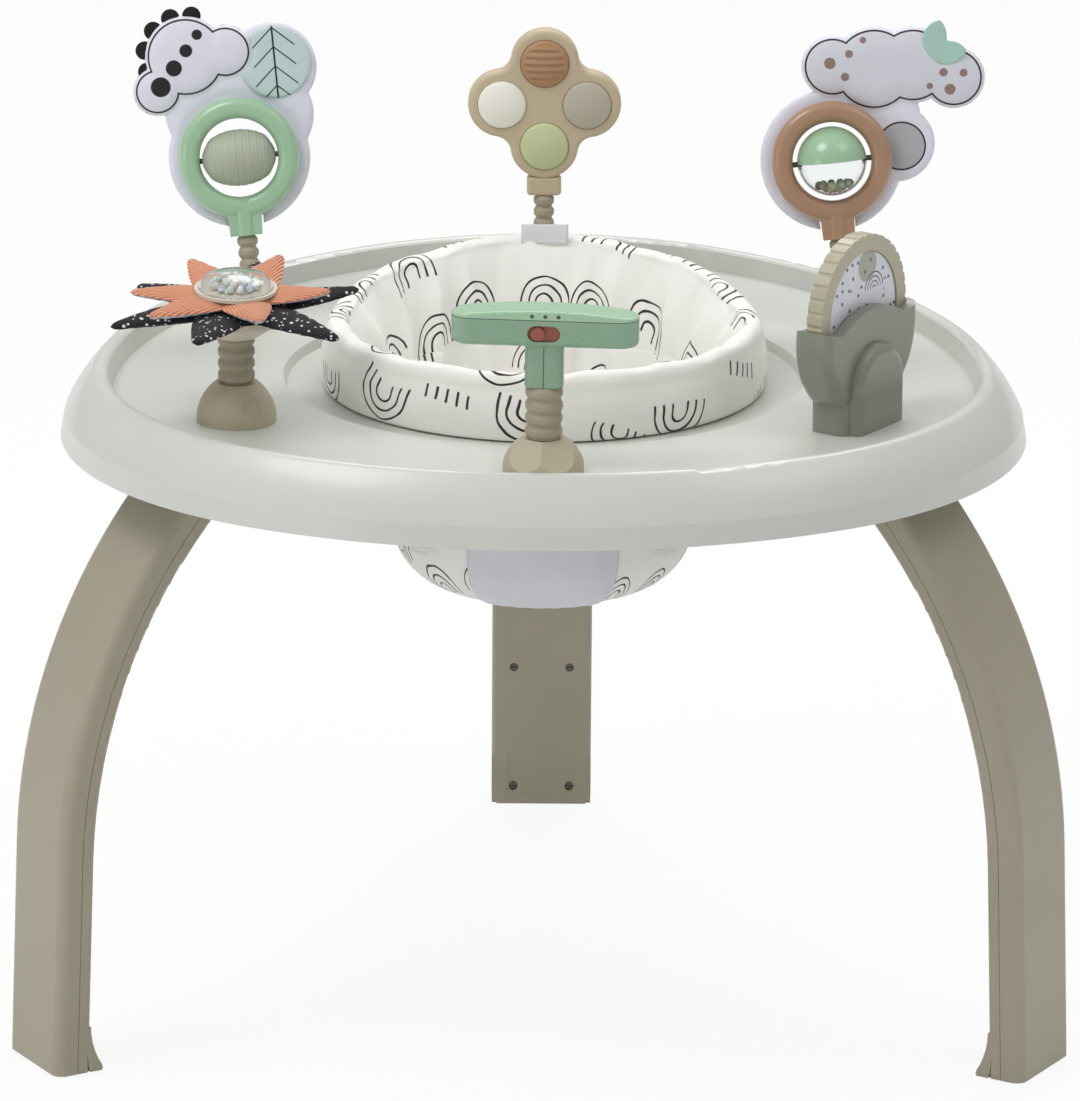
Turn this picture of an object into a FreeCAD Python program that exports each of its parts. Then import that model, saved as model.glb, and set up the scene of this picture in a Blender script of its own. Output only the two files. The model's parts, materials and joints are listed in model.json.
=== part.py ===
import FreeCAD, Part
import math
import os

# Baby activity centre: a three-legged play tray with a turning fabric seat and six toy stations.
# Millimetres, +Z up, floor at zero. The seat turns about a vertical axis. The origin is on the
# floor under the middle of the whole object, so each node is moved by the same amount along Y.

V = FreeCAD.Vector
UP = V(0, 0, 1)
ACROSS = V(1, 0, 0)
DEPTH = V(0, 1, 0)
CENTRE = V(0, 0, 0)
FULL_TURN = 360
LEG_ANGLES = {"back": 90, "left": 210, "right": 330}

# General fits
SEAT_GAP = 0.3
RUNNING_GAP = 0.05
OVERRUN = 20.0

# Tray. The plan of the legs, seat and toy stations keeps its proportions to the tray's reach.
TRAY_SIDE_REACH = 366.0
LOBE_REACH_SHARE = 1.06694
LOBE_RADIUS_SHARE = 0.830601
LEG_REACH_SHARE = 1.248634
WELL_SHARE = 0.557377
SEAT_HOLE_SHARE = 0.431694
CUFF_SHARE = 0.478142
TRAY_LOBE_REACH = TRAY_SIDE_REACH * LOBE_REACH_SHARE
TRAY_LOBE_RADIUS = TRAY_SIDE_REACH * LOBE_RADIUS_SHARE
SKIRT_BOTTOM_Z = 463.0
SKIRT_HEIGHT = 17.0
SKIRT_DRAFT = 3.0
SHOULDER_INSET = 11.0
SHOULDER_Z = 495.0
CROWN_INSET = 31.0
CROWN_HALF_WIDTH = 6.0
CROWN_DROP = 2.6
RIM_TOP_Z = 515.0
FLOOR_Z = 498.0
FLOOR_INSET = 41.0
TRAY_WALL = 3.0
WELL_RADIUS = TRAY_SIDE_REACH * WELL_SHARE
WELL_DEPTH = 7.0
WELL_SLOPE = 3.0
SEAT_HOLE_RADIUS = TRAY_SIDE_REACH * SEAT_HOLE_SHARE
HOLE_LIP = 3.0
RIB_COUNT = 12
RIB_THICKNESS = 2.5
RIB_HEIGHT = 22.0
RIB_WELL_MARGIN = 8.0
RIB_START_RADIUS = WELL_RADIUS + RIB_WELL_MARGIN
SOCKET_BOSS_RADIUS = 4.5

# Legs
LEG_WIDTH = 84.0
LEG_THICKNESS = 29.0
LEG_FOOT_REACH = TRAY_SIDE_REACH * LEG_REACH_SHARE
LEG_KNEE_HEIGHT = 175.0
LEG_SPLAY = 2.0
LEG_BEND_RADIUS = 440.0
LEG_BEND_ANGLE = 60.0
LEG_OUTER_CORNER = 9.0
LEG_INNER_CORNER = 4.0
LEG_WALL = 3.0
LEG_SOLE_WALL = 4.0
LEG_COVER_DEPTH = 11.0
LEG_PARTING = 0.5
FLARE_HEIGHT = 38.0
FLARE_REACH = 13.5
FOOT_LIFT = 1.0
PAD_LENGTH = 58.0
PAD_WIDTH = 12.0
PAD_THICKNESS = 2.5
PAD_CORNER = 5.0
PAD_DEPTH_PLACE = 10.5
LABEL_HALF_WIDTH = 28.0
LABEL_BOTTOM = 7.0
LABEL_TOP = 43.0
LABEL_RECESS = 0.6
LEG_SCREW_SPACING = 47.0
LEG_SCREW_HEIGHTS = (14.0, 119.0)
SCREW_HEAD_RADIUS = 3.4
SCREW_HEAD_HEIGHT = 2.4
SCREW_SHANK_RADIUS = 1.7
SCREW_LENGTH = 14.0
LEG_SCREW_LENGTH = 21.0
SCREW_RECESS = 0.6
SCREW_BOSS_RADIUS = 4.5
SOCKET_WALL = 3.0
SOCKET_EAR_REACH = 16.0
SOCKET_EAR_THICKNESS = 4.0
SOCKET_EAR_DEPTH = 24.0

# Seat
CUFF_RADIUS = TRAY_SIDE_REACH * CUFF_SHARE
CUFF_CREST_INSET = 22.0
CUFF_INNER_INSET = 48.0
CUFF_SKIRT_INSET = 31.0
CUFF_LIFT = 0.7
CUFF_SHOULDER_Z = 517.0
CUFF_TOP_Z = 537.0
CUFF_CREST_RADIUS = CUFF_RADIUS - CUFF_CREST_INSET
CUFF_INNER_RADIUS = CUFF_RADIUS - CUFF_INNER_INSET
CUFF_SKIRT_Z = 488.0
CUFF_SKIRT_RADIUS = CUFF_RADIUS - CUFF_SKIRT_INSET
CUFF_BACK_LIFT = 26.0
CUFF_BACK_SECTIONS = 9
CREST_SEAM = 0.8
RING_HOLE_GAP = 8.0
RING_WALL_RADIUS = SEAT_HOLE_RADIUS - RING_HOLE_GAP
RING_WALL = 6.0
RING_TOP_Z = 510.0
FLANGE_LAP = 10.0
FLANGE_RADIUS = SEAT_HOLE_RADIUS + FLANGE_LAP
FLANGE_THICKNESS = 3.7
NECK_GAP = 0.5
CLAMP_LAP = 12.0
CLAMP_RADIUS = SEAT_HOLE_RADIUS + CLAMP_LAP
CLAMP_THICKNESS = 4.0
BUCKET_TOP_INSET = 9.0
BUCKET_WAIST_SHARE = 0.893617
BUCKET_HEEL_SHARE = 0.843972
BUCKET_TURN_SHARE = 0.737589
BUCKET_FLOOR_SHARE = 0.48227
BUCKET_TOP_RADIUS = RING_WALL_RADIUS - BUCKET_TOP_INSET
BUCKET_WAIST_Z = 420.0
BUCKET_WAIST_RADIUS = BUCKET_TOP_RADIUS * BUCKET_WAIST_SHARE
BUCKET_HEEL_Z = 368.0
BUCKET_HEEL_RADIUS = BUCKET_TOP_RADIUS * BUCKET_HEEL_SHARE
BUCKET_TURN_Z = 343.0
BUCKET_TURN_RADIUS = BUCKET_TOP_RADIUS * BUCKET_TURN_SHARE
BUCKET_FLOOR_Z = 331.0
BUCKET_FLOOR_RADIUS = BUCKET_TOP_RADIUS * BUCKET_FLOOR_SHARE
BUCKET_WALL = 5.0
LEG_HOLE_RADIUS = 50.0
LEG_HOLE_Z = 424.0
LEG_HOLE_ANGLE = 57.0
PANEL_ANGLE = 29.0
PANEL_THICKNESS = 2.0
PANEL_TOP_MARGIN = 12.0
PANEL_START_RADIUS = 26.0
TAG_WIDTH = 38.0
TAG_HEIGHT = 15.5
TAG_THICKNESS = 1.2

# Toy stations: place of each base on the tray floor as shares of the tray's reach, and how
# each toy is turned or leans
MUSIC_SHARES = (0.0, -0.734973)
FLOWER_SHARES = (-0.649727, -0.375683)
WHEEL_SHARES = (0.65847, -0.36612)
LEFT_RING_SHARES = (-0.638525, 0.385246)
RIGHT_RING_SHARES = (0.659563, 0.387978)
CLOVER_SHARES = (-0.002459, 0.688525)
RING_TOY_LEAN = 6.0
RING_TOY_TILT = 11.0
MUSIC_LIFT = 0.8
MUSIC_YAW = -4.0
MUSIC_LEAN = 0.5
FLOWER_TILT = 4.0
WHEEL_YAW = -34.0

# Stems and their bases
THICK_STEM = {"radius": 14.3, "root": 12.4, "plug": 8.0}
THIN_STEM = {"radius": 8.3, "root": 6.2, "plug": 4.5}
STEM_PLUG_LENGTH = 6.0
STEM_LAND_SHARE = 0.34
MUSIC_BASE = {"radius": 31.0, "height": 26.0, "top": 16.5, "skirt": 6.0}
FLOWER_BASE = {"radius": 31.0, "height": 31.0, "top": 16.5, "skirt": 6.0}
CONE_BASE = {"radius": 24.0, "height": 22.0, "top": 11.0, "skirt": 5.0}
BASE_BULGE_SHARES = (0.62, 0.60)
DIMPLE_RADIUS = 14.0
DIMPLE_REACH = 37.0
DIMPLE_HEIGHT = 21.0
DIMPLE_ANGLE = -62.0
FACET_ANGLES = (-118.0, -62.0)
FACET_REACH = 24.5
FACET_TILT = 42.0
MUSIC_STEM_LENGTH = 42.0
MUSIC_STEM_RIBS = 4
FLOWER_STEM_LENGTH = 39.5
FLOWER_STEM_RIBS = 4
RING_STEM_LENGTH = 47.5
RING_STEM_RIBS = 5
CLOVER_STEM_LENGTH = 57.5
CLOVER_STEM_RIBS = 6
LEAN_LIFT = 2.5

# Music box
MUSIC_WIDTH = 143.0
MUSIC_DEPTH = 31.0
MUSIC_LOWER_HEIGHT = 21.0
MUSIC_UPPER_HEIGHT = 7.0
MUSIC_CROWN_RADIUS = 520.0
MUSIC_CORNER = 15.0
MUSIC_LOWER_EDGE = 4.0
MUSIC_UPPER_EDGE = 1.8
MUSIC_WALL = 2.0
MUSIC_NECK_HEIGHT = 33.0
MUSIC_NECK_WIDTH = 29.5
MUSIC_NECK_DEPTH = 24.0
MUSIC_NECK_CORNER = 7.0
SWITCH_SLOT_LENGTH = 25.0
SWITCH_SLOT_HEIGHT = 12.5
SWITCH_SLOT_Z_SHARE = 0.50
SWITCH_TRAVEL = 8.0
SWITCH_THICKNESS = 2.5
SWITCH_BUMP_RADIUS = 5.2
SWITCH_BUMP_REACH = 3.2
SWITCH_REST_OFFSET = 4.5
SWITCH_OVERLAP = 9.0
FACE_WIDTH = 122.0
FACE_HEIGHT = 26.0
FACE_THICKNESS = 4.0
FACE_CORNER = 12.0
FACE_DROP = 2.5
BUTTON_RADIUS = 8.5
BUTTON_SPACING = 78.0
BUTTON_REACH = 3.0
BUTTON_TRAVEL = 2.0
BUTTON_FLANGE = 1.0
BUTTON_FLANGE_THICKNESS = 1.5
BOARD_LENGTH = 92.0
BOARD_HEIGHT = 15.0
BOARD_THICKNESS = 1.6
SPEAKER_RADIUS = 7.0
SPEAKER_DEPTH = 8.0
DOOR_WIDTH = 40.0
DOOR_DEPTH = 24.0
DOOR_THICKNESS = 1.6
DOOR_OFFSET = 43.0
DOOR_CORNER = 4.0

# Flower. Each petal has an angle, a reach and the rise of its tip.
HUB_LOW_RADIUS = 19.0
HUB_RIM_RADIUS = 33.0
HUB_HEIGHT = 17.0
HUB_RIM_HEIGHT = 5.0
HUB_POST_RADIUS = 14.0
CAP_RADIUS = 32.0
CAP_THICKNESS = 2.5
DOME_RADIUS = 29.0
DOME_HEIGHT = 13.0
DOME_EDGE = 9.0
DOME_WALL = 1.8
DOME_BEAD_RADIUS = 3.0
DOME_BEAD_RINGS = ((0.0, 1), (9.0, 7), (17.0, 14))
PETAL_GAP = 0.4
PETAL_ALONG_SHARES = (0.0, 0.30, 0.64, 1.0)
PETAL_WIDTH_SHARES = (0.75, 1.0, 0.74, 0.24)
PETAL_DEPTH_SHARES = (0.85, 1.0, 0.9, 0.42)
ORANGE = {"half": 20.0, "thick": 8.0}
BLACK = {"half": 21.0, "thick": 9.0}
ORANGE_PETALS = (
    (2, 73.0, 3.0), (65, 78.0, 8.0), (119, 78.0, 5.0),
    (176, 82.0, 0.0), (218, 82.0, 0.0), (288, 68.0, 2.0),
)
BLACK_PETALS = (
    (21, 101.0, 2.0), (81, 97.0, 2.0), (146, 95.0, -3.0),
    (199, 101.0, -6.0), (253, 95.0, 2.0), (323, 101.0, -5.0),
)
PETAL_INNER_RADIUS = 12.0

# Ring toys
RING_OUTER_RADIUS = 48.2
RING_HOLE_RADIUS = 31.5
RING_DEPTH = 20.0
RING_EDGE = 7.0
RING_WALL_THICKNESS = 2.0
RING_CENTRE_RISE = 62.3
RING_NECK_WIDTH = 25.5
RING_NECK_TOP_WIDTH = 28.0
RING_NECK_DEPTH = 16.0
NECK_RIB_WIDTH = 14.0
NECK_RIB_RISE = 1.9
NECK_RIB_CORNER = 5.0
AXLE_RADIUS = 2.2
AXLE_INSET = 7.0
SPINNER_HALF_LENGTH = 29.2
SPINNER_RADIUS = 22.4
SPINNER_HUB_RADIUS = 4.5
SPINNER_BANDS = 10
SPINNER_BAND_DEPTH = 0.4
BALL_RADIUS = 28.0
BALL_WALL = 2.0
BALL_HALF_GAP = 0.1
BALL_PIN_ENGAGE = 4.0
BEAD_RADIUS = 3.2
BEAD_RINGS = ((0.0, 1), (17.5, 6), (34.5, 11))
PLUSH_SEAM = 3.0
HALO_THICKNESS = 6.0
CLOUD_THICKNESS = 14.0
PLUSH_HOLE_RADIUS = 33.5
LEFT_HALO = ((0.0, 0.0, 57.0), (-16.0, 38.0, 40.0), (33.0, 69.0, 36.0), (23.0, 31.5, 40.0))
LEFT_CLOUD = ((-35.0, 84.0, 33.0), (-3.0, 85.0, 22.0), (-60.0, 58.5, 20.0))
LEFT_LEAF = (36.0, 73.0, 29.0)
TAB_RADIUS = 7.5
TAB_THICKNESS = 3.0
TAB_ANGLES = (76, 106, 136, 166, 196)
RIGHT_HALO = ((0.0, 0.0, 57.0), (33.0, 27.0, 42.0), (53.0, 8.5, 31.0))
RIGHT_CLOUD = ((41.0, 70.0, 34.0), (72.0, 70.0, 31.0), (104.0, 57.0, 25.0), (8.0, 75.0, 25.0))
LEAF_FOOT = (86.0, 76.0)
LEAF_LENGTH = 30.0
LEAF_HALF_WIDTH = 9.5
LEAF_THICKNESS = 4.0
LEAF_STANDOFF = 1.5
LEAF_ANGLES = (4, 69)

# Clover toy
CLOVER_LOBE_RADIUS = 27.6
CLOVER_LOBE_PLACE = 34.4
CLOVER_FILLET = 13.0
CLOVER_DEPTH = 16.0
CLOVER_EDGE = 4.0
COLLAR_HEIGHT = 15.5
COLLAR_WIDTH = 28.0
COLLAR_DEPTH = 15.0
COLLAR_CORNER = 4.0
COLLAR_EDGE = 3.0
CLOVER_CENTRE_RISE = 76.3
POPPER_RADIUS = 19.7
POPPER_DOME = 7.5
POPPER_EDGE = 4.5
POPPER_SKIRT = 6.0
POPPER_WALL = 2.0
POPPER_INSET = 1.0
CLOVER_WALL = 2.0
LOBE_NAMES = {"right": 0, "top": 90, "left": 180, "bottom": 270}

# Wheel toy
DISC_RADIUS = 61.0
DISC_THICKNESS = 13.5
DISC_HEIGHT = 90.0
KNURL_COUNT = 36
KNURL_RADIUS = 2.4
KNURL_DEPTH = 1.1
DISC_RECESS = 2.0
DISC_FACE_RADIUS = 48.0
PICTURE_THICKNESS = 0.8
PICTURE_RIM_GAP = 0.5
TRUNNION_RADIUS = 2.8
TRUNNION_LENGTH = 4.5
HOUSING_RADIUS = 66.0
HOUSING_DRUM_HEIGHT = 75.0
HOUSING_HALF_DEPTH = 17.0
HOUSING_EDGE = 9.0
HOUSING_CORNER = 8.0
HOUSING_FOOT_Z = 56.0
HOUSING_LIP = 2.6
HOUSING_WALL = 2.6
HOUSING_BASE_HALF = 40.0
HORN_Z = 87.0
DIP_Z = 83.0
HUMP_Z = 95.0
DIP_SHARE = 0.66
DISC_SIDE_GAP = 0.8
DISC_RIM_GAP = 1.6
BULGE_HALF = 34.0
BULGE_REACH = 9.0
BULGE_SIDE_Z = 32.0
BULGE_TOP_Z = 68.0
BULGE_EDGE = 8.6

# Values that follow from the ones above
WELL_Z = FLOOR_Z - WELL_DEPTH
TRAY_UNDERSIDE_Z = FLOOR_Z - TRAY_WALL
FLANGE_BOTTOM_Z = WELL_Z + SEAT_GAP
FLANGE_TOP_Z = FLANGE_BOTTOM_Z + FLANGE_THICKNESS
CLAMP_TOP_Z = WELL_Z - TRAY_WALL - HOLE_LIP - SEAT_GAP
CUFF_BOTTOM_Z = WELL_Z + CUFF_LIFT
BUCKET_TOP_Z = CUFF_SKIRT_Z - SEAT_GAP
BUCKET_RIM_Z = BUCKET_TOP_Z + BUCKET_WALL / 2
FRONT_REACH = TRAY_SIDE_REACH
BACK_REACH = LEG_FOOT_REACH - FOOT_LIFT * math.tan(math.radians(LEG_SPLAY))
SHIFT_Y = (FRONT_REACH - BACK_REACH) / 2
MUSIC_PLACE = [TRAY_SIDE_REACH * share for share in MUSIC_SHARES]
FLOWER_PLACE = [TRAY_SIDE_REACH * share for share in FLOWER_SHARES]
WHEEL_PLACE = [TRAY_SIDE_REACH * share for share in WHEEL_SHARES]
LEFT_RING_PLACE = [TRAY_SIDE_REACH * share for share in LEFT_RING_SHARES]
RIGHT_RING_PLACE = [TRAY_SIDE_REACH * share for share in RIGHT_RING_SHARES]
CLOVER_PLACE = [TRAY_SIDE_REACH * share for share in CLOVER_SHARES]


def at(x, z):
    return V(x, 0, z)


def polar(radius, angle, z=0.0):
    turn = math.radians(angle)
    return V(radius * math.cos(turn), radius * math.sin(turn), z)


def join(shapes):
    if len(shapes) == 1:
        return shapes[0]
    return shapes[0].fuse(shapes[1:]).removeSplitter()


def group(shapes):
    return Part.makeCompound(shapes)


def moved(shape, x, y, z):
    copy = shape.copy()
    copy.translate(V(x, y, z))
    return copy


def turned(shape, about, axis, angle):
    copy = shape.copy()
    copy.rotate(about, axis, angle)
    return copy


def rod(radius, length, start, axis=UP):
    return Part.makeCylinder(radius, length, start, axis)


def block(width, depth, height, x, y, low_z):
    return Part.makeBox(width, depth, height, V(x - width / 2, y - depth / 2, low_z))


# A closed wire: a step that is a point is a straight run, a pair is an arc through its
# first point to its second.
def wire_of(start, steps, closed=True):
    edges = []
    here = start
    for step in steps:
        if isinstance(step, tuple):
            edges.append(Part.Arc(here, step[0], step[1]).toShape())
            here = step[1]
        else:
            edges.append(Part.LineSegment(here, step).toShape())
            here = step
    if closed and (here - start).Length > RUNNING_GAP / 10:
        edges.append(Part.LineSegment(here, start).toShape())
    return Part.Wire(edges)


def lathe(start, steps, angle=FULL_TURN, axis=UP):
    return Part.Face(wire_of(start, steps)).revolve(CENTRE, axis, angle)


# A rectangle with round corners in the XY plane, its middle at x, y.
def rounded_face(width, depth, corner, x=0.0, y=0.0, z=0.0):
    a = width / 2
    b = depth / 2
    inner = corner * (1 - math.sqrt(1 / 2))
    steps = []
    for sx, sy in ((1, -1), (1, 1), (-1, 1), (-1, -1)):
        first = V(x + sx * (a - corner), y + sy * b, z)
        second = V(x + sx * a, y + sy * (b - corner), z)
        if sx == sy:
            first, second = second, first
        steps.append(first)
        steps.append((V(x + sx * (a - inner), y + sy * (b - inner), z), second))
    return Part.Face(wire_of(V(x - a + corner, y - b, z), steps))


def rounded_bar(width, depth, height, corner, x=0.0, y=0.0, low_z=0.0):
    return rounded_face(width, depth, corner, x, y, low_z).extrude(V(0, 0, height))


# Half outline of a low dome: a tight arc at its edge, then a sphere over its top. An inset
# gives the inner face of its wall. The first point is the foot of the outline.
def dome_outline(radius, height, edge, inset=0.0):
    centre_x = radius - edge
    rise = height - edge
    centre_z = (rise ** 2 - centre_x ** 2) / (2 * rise)
    sphere = height - centre_z - inset
    tight = edge - inset
    cap = math.atan2(centre_x, -centre_z)
    side = math.pi / 2 - cap
    middle = at(centre_x + tight * math.cos(side / 2), tight * math.sin(side / 2))
    meet = at(centre_x + tight * math.cos(side), tight * math.sin(side))
    over = at(sphere * math.sin(cap / 2), centre_z + sphere * math.cos(cap / 2))
    return [at(centre_x + tight, 0), (middle, meet), (over, at(0, height - inset))]


# A domed shell that stands on a short skirt below zero height.
def domed_shell(radius, height, edge, wall, skirt):
    outer = dome_outline(radius, height, edge)
    inner = dome_outline(radius, height, edge, wall)
    outside = lathe(outer[0], outer[1:] + [at(0, 0)])
    inside = lathe(inner[0], inner[1:] + [at(0, 0)])
    shell = outside.cut(inside)
    if skirt > 0:
        band = rod(radius, skirt, at(0, -skirt)).cut(rod(radius - wall, skirt, at(0, -skirt)))
        shell = join([shell, band])
    return shell


# Edges that lie wholly on the plane z = level.
def edges_at(shape, level):
    found = []
    for edge in shape.Edges:
        box = edge.BoundBox
        if abs(box.ZMin - level) < RUNNING_GAP and abs(box.ZMax - level) < RUNNING_GAP:
            found.append(edge)
    return found


def place(shape, where, yaw=0.0):
    return moved(turned(shape, CENTRE, UP, yaw), where[0], where[1], FLOOR_Z)


def save(node, shape):
    moved(shape, 0, SHIFT_Y, 0).exportStep("parts/" + node + ".step")


# Tray outline: three wide lobes over the legs joined by flatter tangent arcs. Each entry is
# a centre, a radius and the angles between which the arc runs.
def tray_arcs():
    reach_step = TRAY_LOBE_REACH - TRAY_SIDE_REACH
    lobe_offset = TRAY_LOBE_REACH - TRAY_LOBE_RADIUS
    side_offset = (2 * reach_step * lobe_offset - reach_step ** 2) / (lobe_offset - 2 * reach_step)
    side_radius = TRAY_SIDE_REACH + side_offset
    third = FULL_TURN / 3
    sixth = FULL_TURN / 6
    twelfth = FULL_TURN / 12
    rise = lobe_offset + side_offset * math.sin(math.radians(twelfth))
    run = side_offset * math.cos(math.radians(twelfth))
    meet = math.degrees(math.atan2(rise, run))
    arcs = []
    for k in range(3):
        step = third * k
        side = twelfth + step
        lobe = twelfth + sixth + step
        side_centre = polar(side_offset, side + FULL_TURN / 2)
        arcs.append((side_centre, side_radius, sixth - meet + step, meet + step))
        arcs.append((polar(lobe_offset, lobe), TRAY_LOBE_RADIUS, meet + step, 3 * sixth - meet + step))
    return arcs


def tray_outline(inset, z):
    edges = []
    for centre, radius, start, end in tray_arcs():
        reach = radius - inset
        points = [centre + polar(reach, angle, z) for angle in (start, (start + end) / 2, end)]
        edges.append(Part.Arc(points[0], points[1], points[2]).toShape())
    return Part.Face(Part.Wire(edges))


def rim_section(radius):
    skirt_top = at(radius - SKIRT_DRAFT, SKIRT_BOTTOM_Z + SKIRT_HEIGHT)
    shoulder = at(radius - SHOULDER_INSET, SHOULDER_Z)
    crown_out = at(radius - CROWN_INSET + CROWN_HALF_WIDTH, RIM_TOP_Z - CROWN_DROP)
    crown = at(radius - CROWN_INSET, RIM_TOP_Z)
    crown_in = at(radius - CROWN_INSET - CROWN_HALF_WIDTH, RIM_TOP_Z - CROWN_DROP)
    foot = at(radius - FLOOR_INSET, FLOOR_Z)
    steps = [skirt_top, (shoulder, crown_out), (crown, crown_in), foot]
    skin = wire_of(at(radius, SKIRT_BOTTOM_Z), steps, closed=False)
    inner = skin.makeOffset2D(TRAY_WALL, 0, True, True, False)
    if inner.BoundBox.ZMax > RIM_TOP_Z + RUNNING_GAP:
        inner = skin.makeOffset2D(-TRAY_WALL, 0, True, True, False)
    return inner


def tray_rim():
    sectors = []
    for centre, radius, start, end in tray_arcs():
        sector = rim_section(radius).revolve(CENTRE, UP, end - start)
        sectors.append(moved(turned(sector, CENTRE, UP, start), centre.x, centre.y, 0))
    return sectors


def tray_well():
    near = WELL_RADIUS - WELL_SLOPE / 2
    far = WELL_RADIUS + WELL_SLOPE / 2
    low = WELL_Z - TRAY_WALL
    steps = [
        at(near, WELL_Z), at(far, FLOOR_Z), at(far + TRAY_WALL, FLOOR_Z),
        at(far + TRAY_WALL, TRAY_UNDERSIDE_Z), at(far + WELL_SLOPE / 2, TRAY_UNDERSIDE_Z),
        at(near + WELL_SLOPE / 2, low), at(SEAT_HOLE_RADIUS + TRAY_WALL, low),
        at(SEAT_HOLE_RADIUS + TRAY_WALL, low - HOLE_LIP), at(SEAT_HOLE_RADIUS, low - HOLE_LIP),
    ]
    return lathe(at(SEAT_HOLE_RADIUS, WELL_Z), steps)


def tray_ribs():
    keep = tray_outline(FLOOR_INSET - TRAY_WALL, 0).extrude(V(0, 0, RIM_TOP_Z))
    length = TRAY_LOBE_REACH - RIB_START_RADIUS
    ribs = []
    for k in range(RIB_COUNT):
        low = TRAY_UNDERSIDE_Z - RIB_HEIGHT
        height = RIB_HEIGHT + TRAY_WALL / 2
        rib = block(length, RIB_THICKNESS, height, RIB_START_RADIUS + length / 2, 0, low)
        ribs.append(turned(rib, CENTRE, UP, (k + 1 / 2) * FULL_TURN / RIB_COUNT).common(keep))
    return ribs


def socket_screw_places():
    reach = leg_outer_radius((SKIRT_BOTTOM_Z + FLOOR_Z) / 2) - LEG_THICKNESS / 2
    side = LEG_WIDTH / 2 + SOCKET_WALL + SOCKET_EAR_REACH / 2
    places = []
    for angle in LEG_ANGLES.values():
        for sign in (1, -1):
            places.append(polar(reach, angle) + polar(side * sign, angle + FULL_TURN / 4))
    return places


def tray_bosses():
    low = ear_bottom_z() + SOCKET_EAR_THICKNESS
    height = TRAY_UNDERSIDE_Z - low + TRAY_WALL / 2
    return [rod(SOCKET_BOSS_RADIUS, height, p + V(0, 0, low)) for p in socket_screw_places()]


def ear_bottom_z():
    return TRAY_UNDERSIDE_Z - SCREW_LENGTH + SCREW_HEAD_HEIGHT


def tray_top():
    plate = tray_outline(FLOOR_INSET - TRAY_WALL, TRAY_UNDERSIDE_Z).extrude(V(0, 0, TRAY_WALL))
    well_mouth = rod(WELL_RADIUS + WELL_SLOPE / 2, RIM_TOP_Z, CENTRE)
    body = join([plate.cut(well_mouth), tray_well()] + tray_rim() + tray_ribs() + tray_bosses())
    pilots = []
    for p in socket_screw_places():
        start = p + V(0, 0, ear_bottom_z())
        pilots.append(rod(SCREW_SHANK_RADIUS + RUNNING_GAP, SCREW_LENGTH, start))
    return body.cut(pilots)


# Legs are built with the floor run and the bend in the XZ plane, then turned to their angle.
def leg_knee():
    rise = LEG_KNEE_HEIGHT
    return V(LEG_FOOT_REACH - rise * math.tan(math.radians(LEG_SPLAY)), 0, rise)


def leg_outer_radius(z):
    knee = leg_knee()
    splay = math.radians(LEG_SPLAY)
    centre = V(knee.x - LEG_BEND_RADIUS * math.cos(splay), 0, knee.z - LEG_BEND_RADIUS * math.sin(splay))
    return centre.x + math.sqrt(LEG_BEND_RADIUS ** 2 - (z - centre.z) ** 2)


# Sweeps a face of depth (minus X) by width (Y) down to the floor and round the bend.
def leg_sweep(face, top_z):
    drop = LEG_KNEE_HEIGHT + OVERRUN
    straight = face.extrude(V(0, 0, -drop))
    bend = face.revolve(V(-LEG_BEND_RADIUS, 0, 0), V(0, -1, 0), LEG_BEND_ANGLE)
    whole = turned(straight.fuse(bend), CENTRE, DEPTH, -LEG_SPLAY)
    knee = leg_knee()
    whole.translate(knee)
    room = block(LEG_FOOT_REACH * 2, LEG_WIDTH * 2, top_z - FOOT_LIFT, LEG_FOOT_REACH, 0, FOOT_LIFT)
    return whole.common(room)


def leg_face(outer_depth, inner_depth, width, outer_corner, inner_corner):
    half = width / 2
    k = 1 - math.sqrt(1 / 2)
    out = -outer_depth
    inn = -inner_depth
    steps = [
        V(out, half - outer_corner, 0),
        (V(out - outer_corner * k, half - outer_corner * k, 0), V(out - outer_corner, half, 0)),
        V(inn + inner_corner, half, 0),
        (V(inn + inner_corner * k, half - inner_corner * k, 0), V(inn, half - inner_corner, 0)),
        V(inn, inner_corner - half, 0),
        (V(inn + inner_corner * k, inner_corner * k - half, 0), V(inn + inner_corner, -half, 0)),
        V(out - outer_corner, -half, 0),
        (V(out - outer_corner * k, outer_corner * k - half, 0), V(out, outer_corner - half, 0)),
    ]
    return Part.Face(wire_of(V(out, outer_corner - half, 0), steps))


def leg_flare(width, low_z, corner):
    radius = flare_radius()
    top = at(inner_face_x(FLARE_HEIGHT), FLARE_HEIGHT)
    half_turn = math.asin(FLARE_HEIGHT / radius) / 2
    low = at(top.x - FLARE_REACH, 0)
    middle = at(top.x - radius * (1 - math.cos(half_turn)), FLARE_HEIGHT - radius * math.sin(half_turn))
    deep = LEG_THICKNESS / 2
    face = Part.Face(wire_of(top, [(middle, low), at(low.x + deep, 0), at(top.x + deep / 2, FLARE_HEIGHT)]))
    solid = moved(face.extrude(V(0, width, 0)), 0, -width / 2, 0)
    height = FLARE_HEIGHT * 2
    middle_room = block(LEG_THICKNESS * 2, width - corner * 2, height, low.x + LEG_THICKNESS, 0, low_z)
    side_room = block(LEG_THICKNESS * 2, width, height, low.x + corner + LEG_THICKNESS, 0, low_z)
    return solid.common(middle_room.fuse(side_room))


def leg_solid(gap=0.0):
    width = LEG_WIDTH + 2 * gap
    face = leg_face(-gap, LEG_THICKNESS + gap, width, LEG_OUTER_CORNER + gap, LEG_INNER_CORNER + gap)
    return leg_sweep(face, TRAY_UNDERSIDE_Z - SEAT_GAP + gap)


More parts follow.
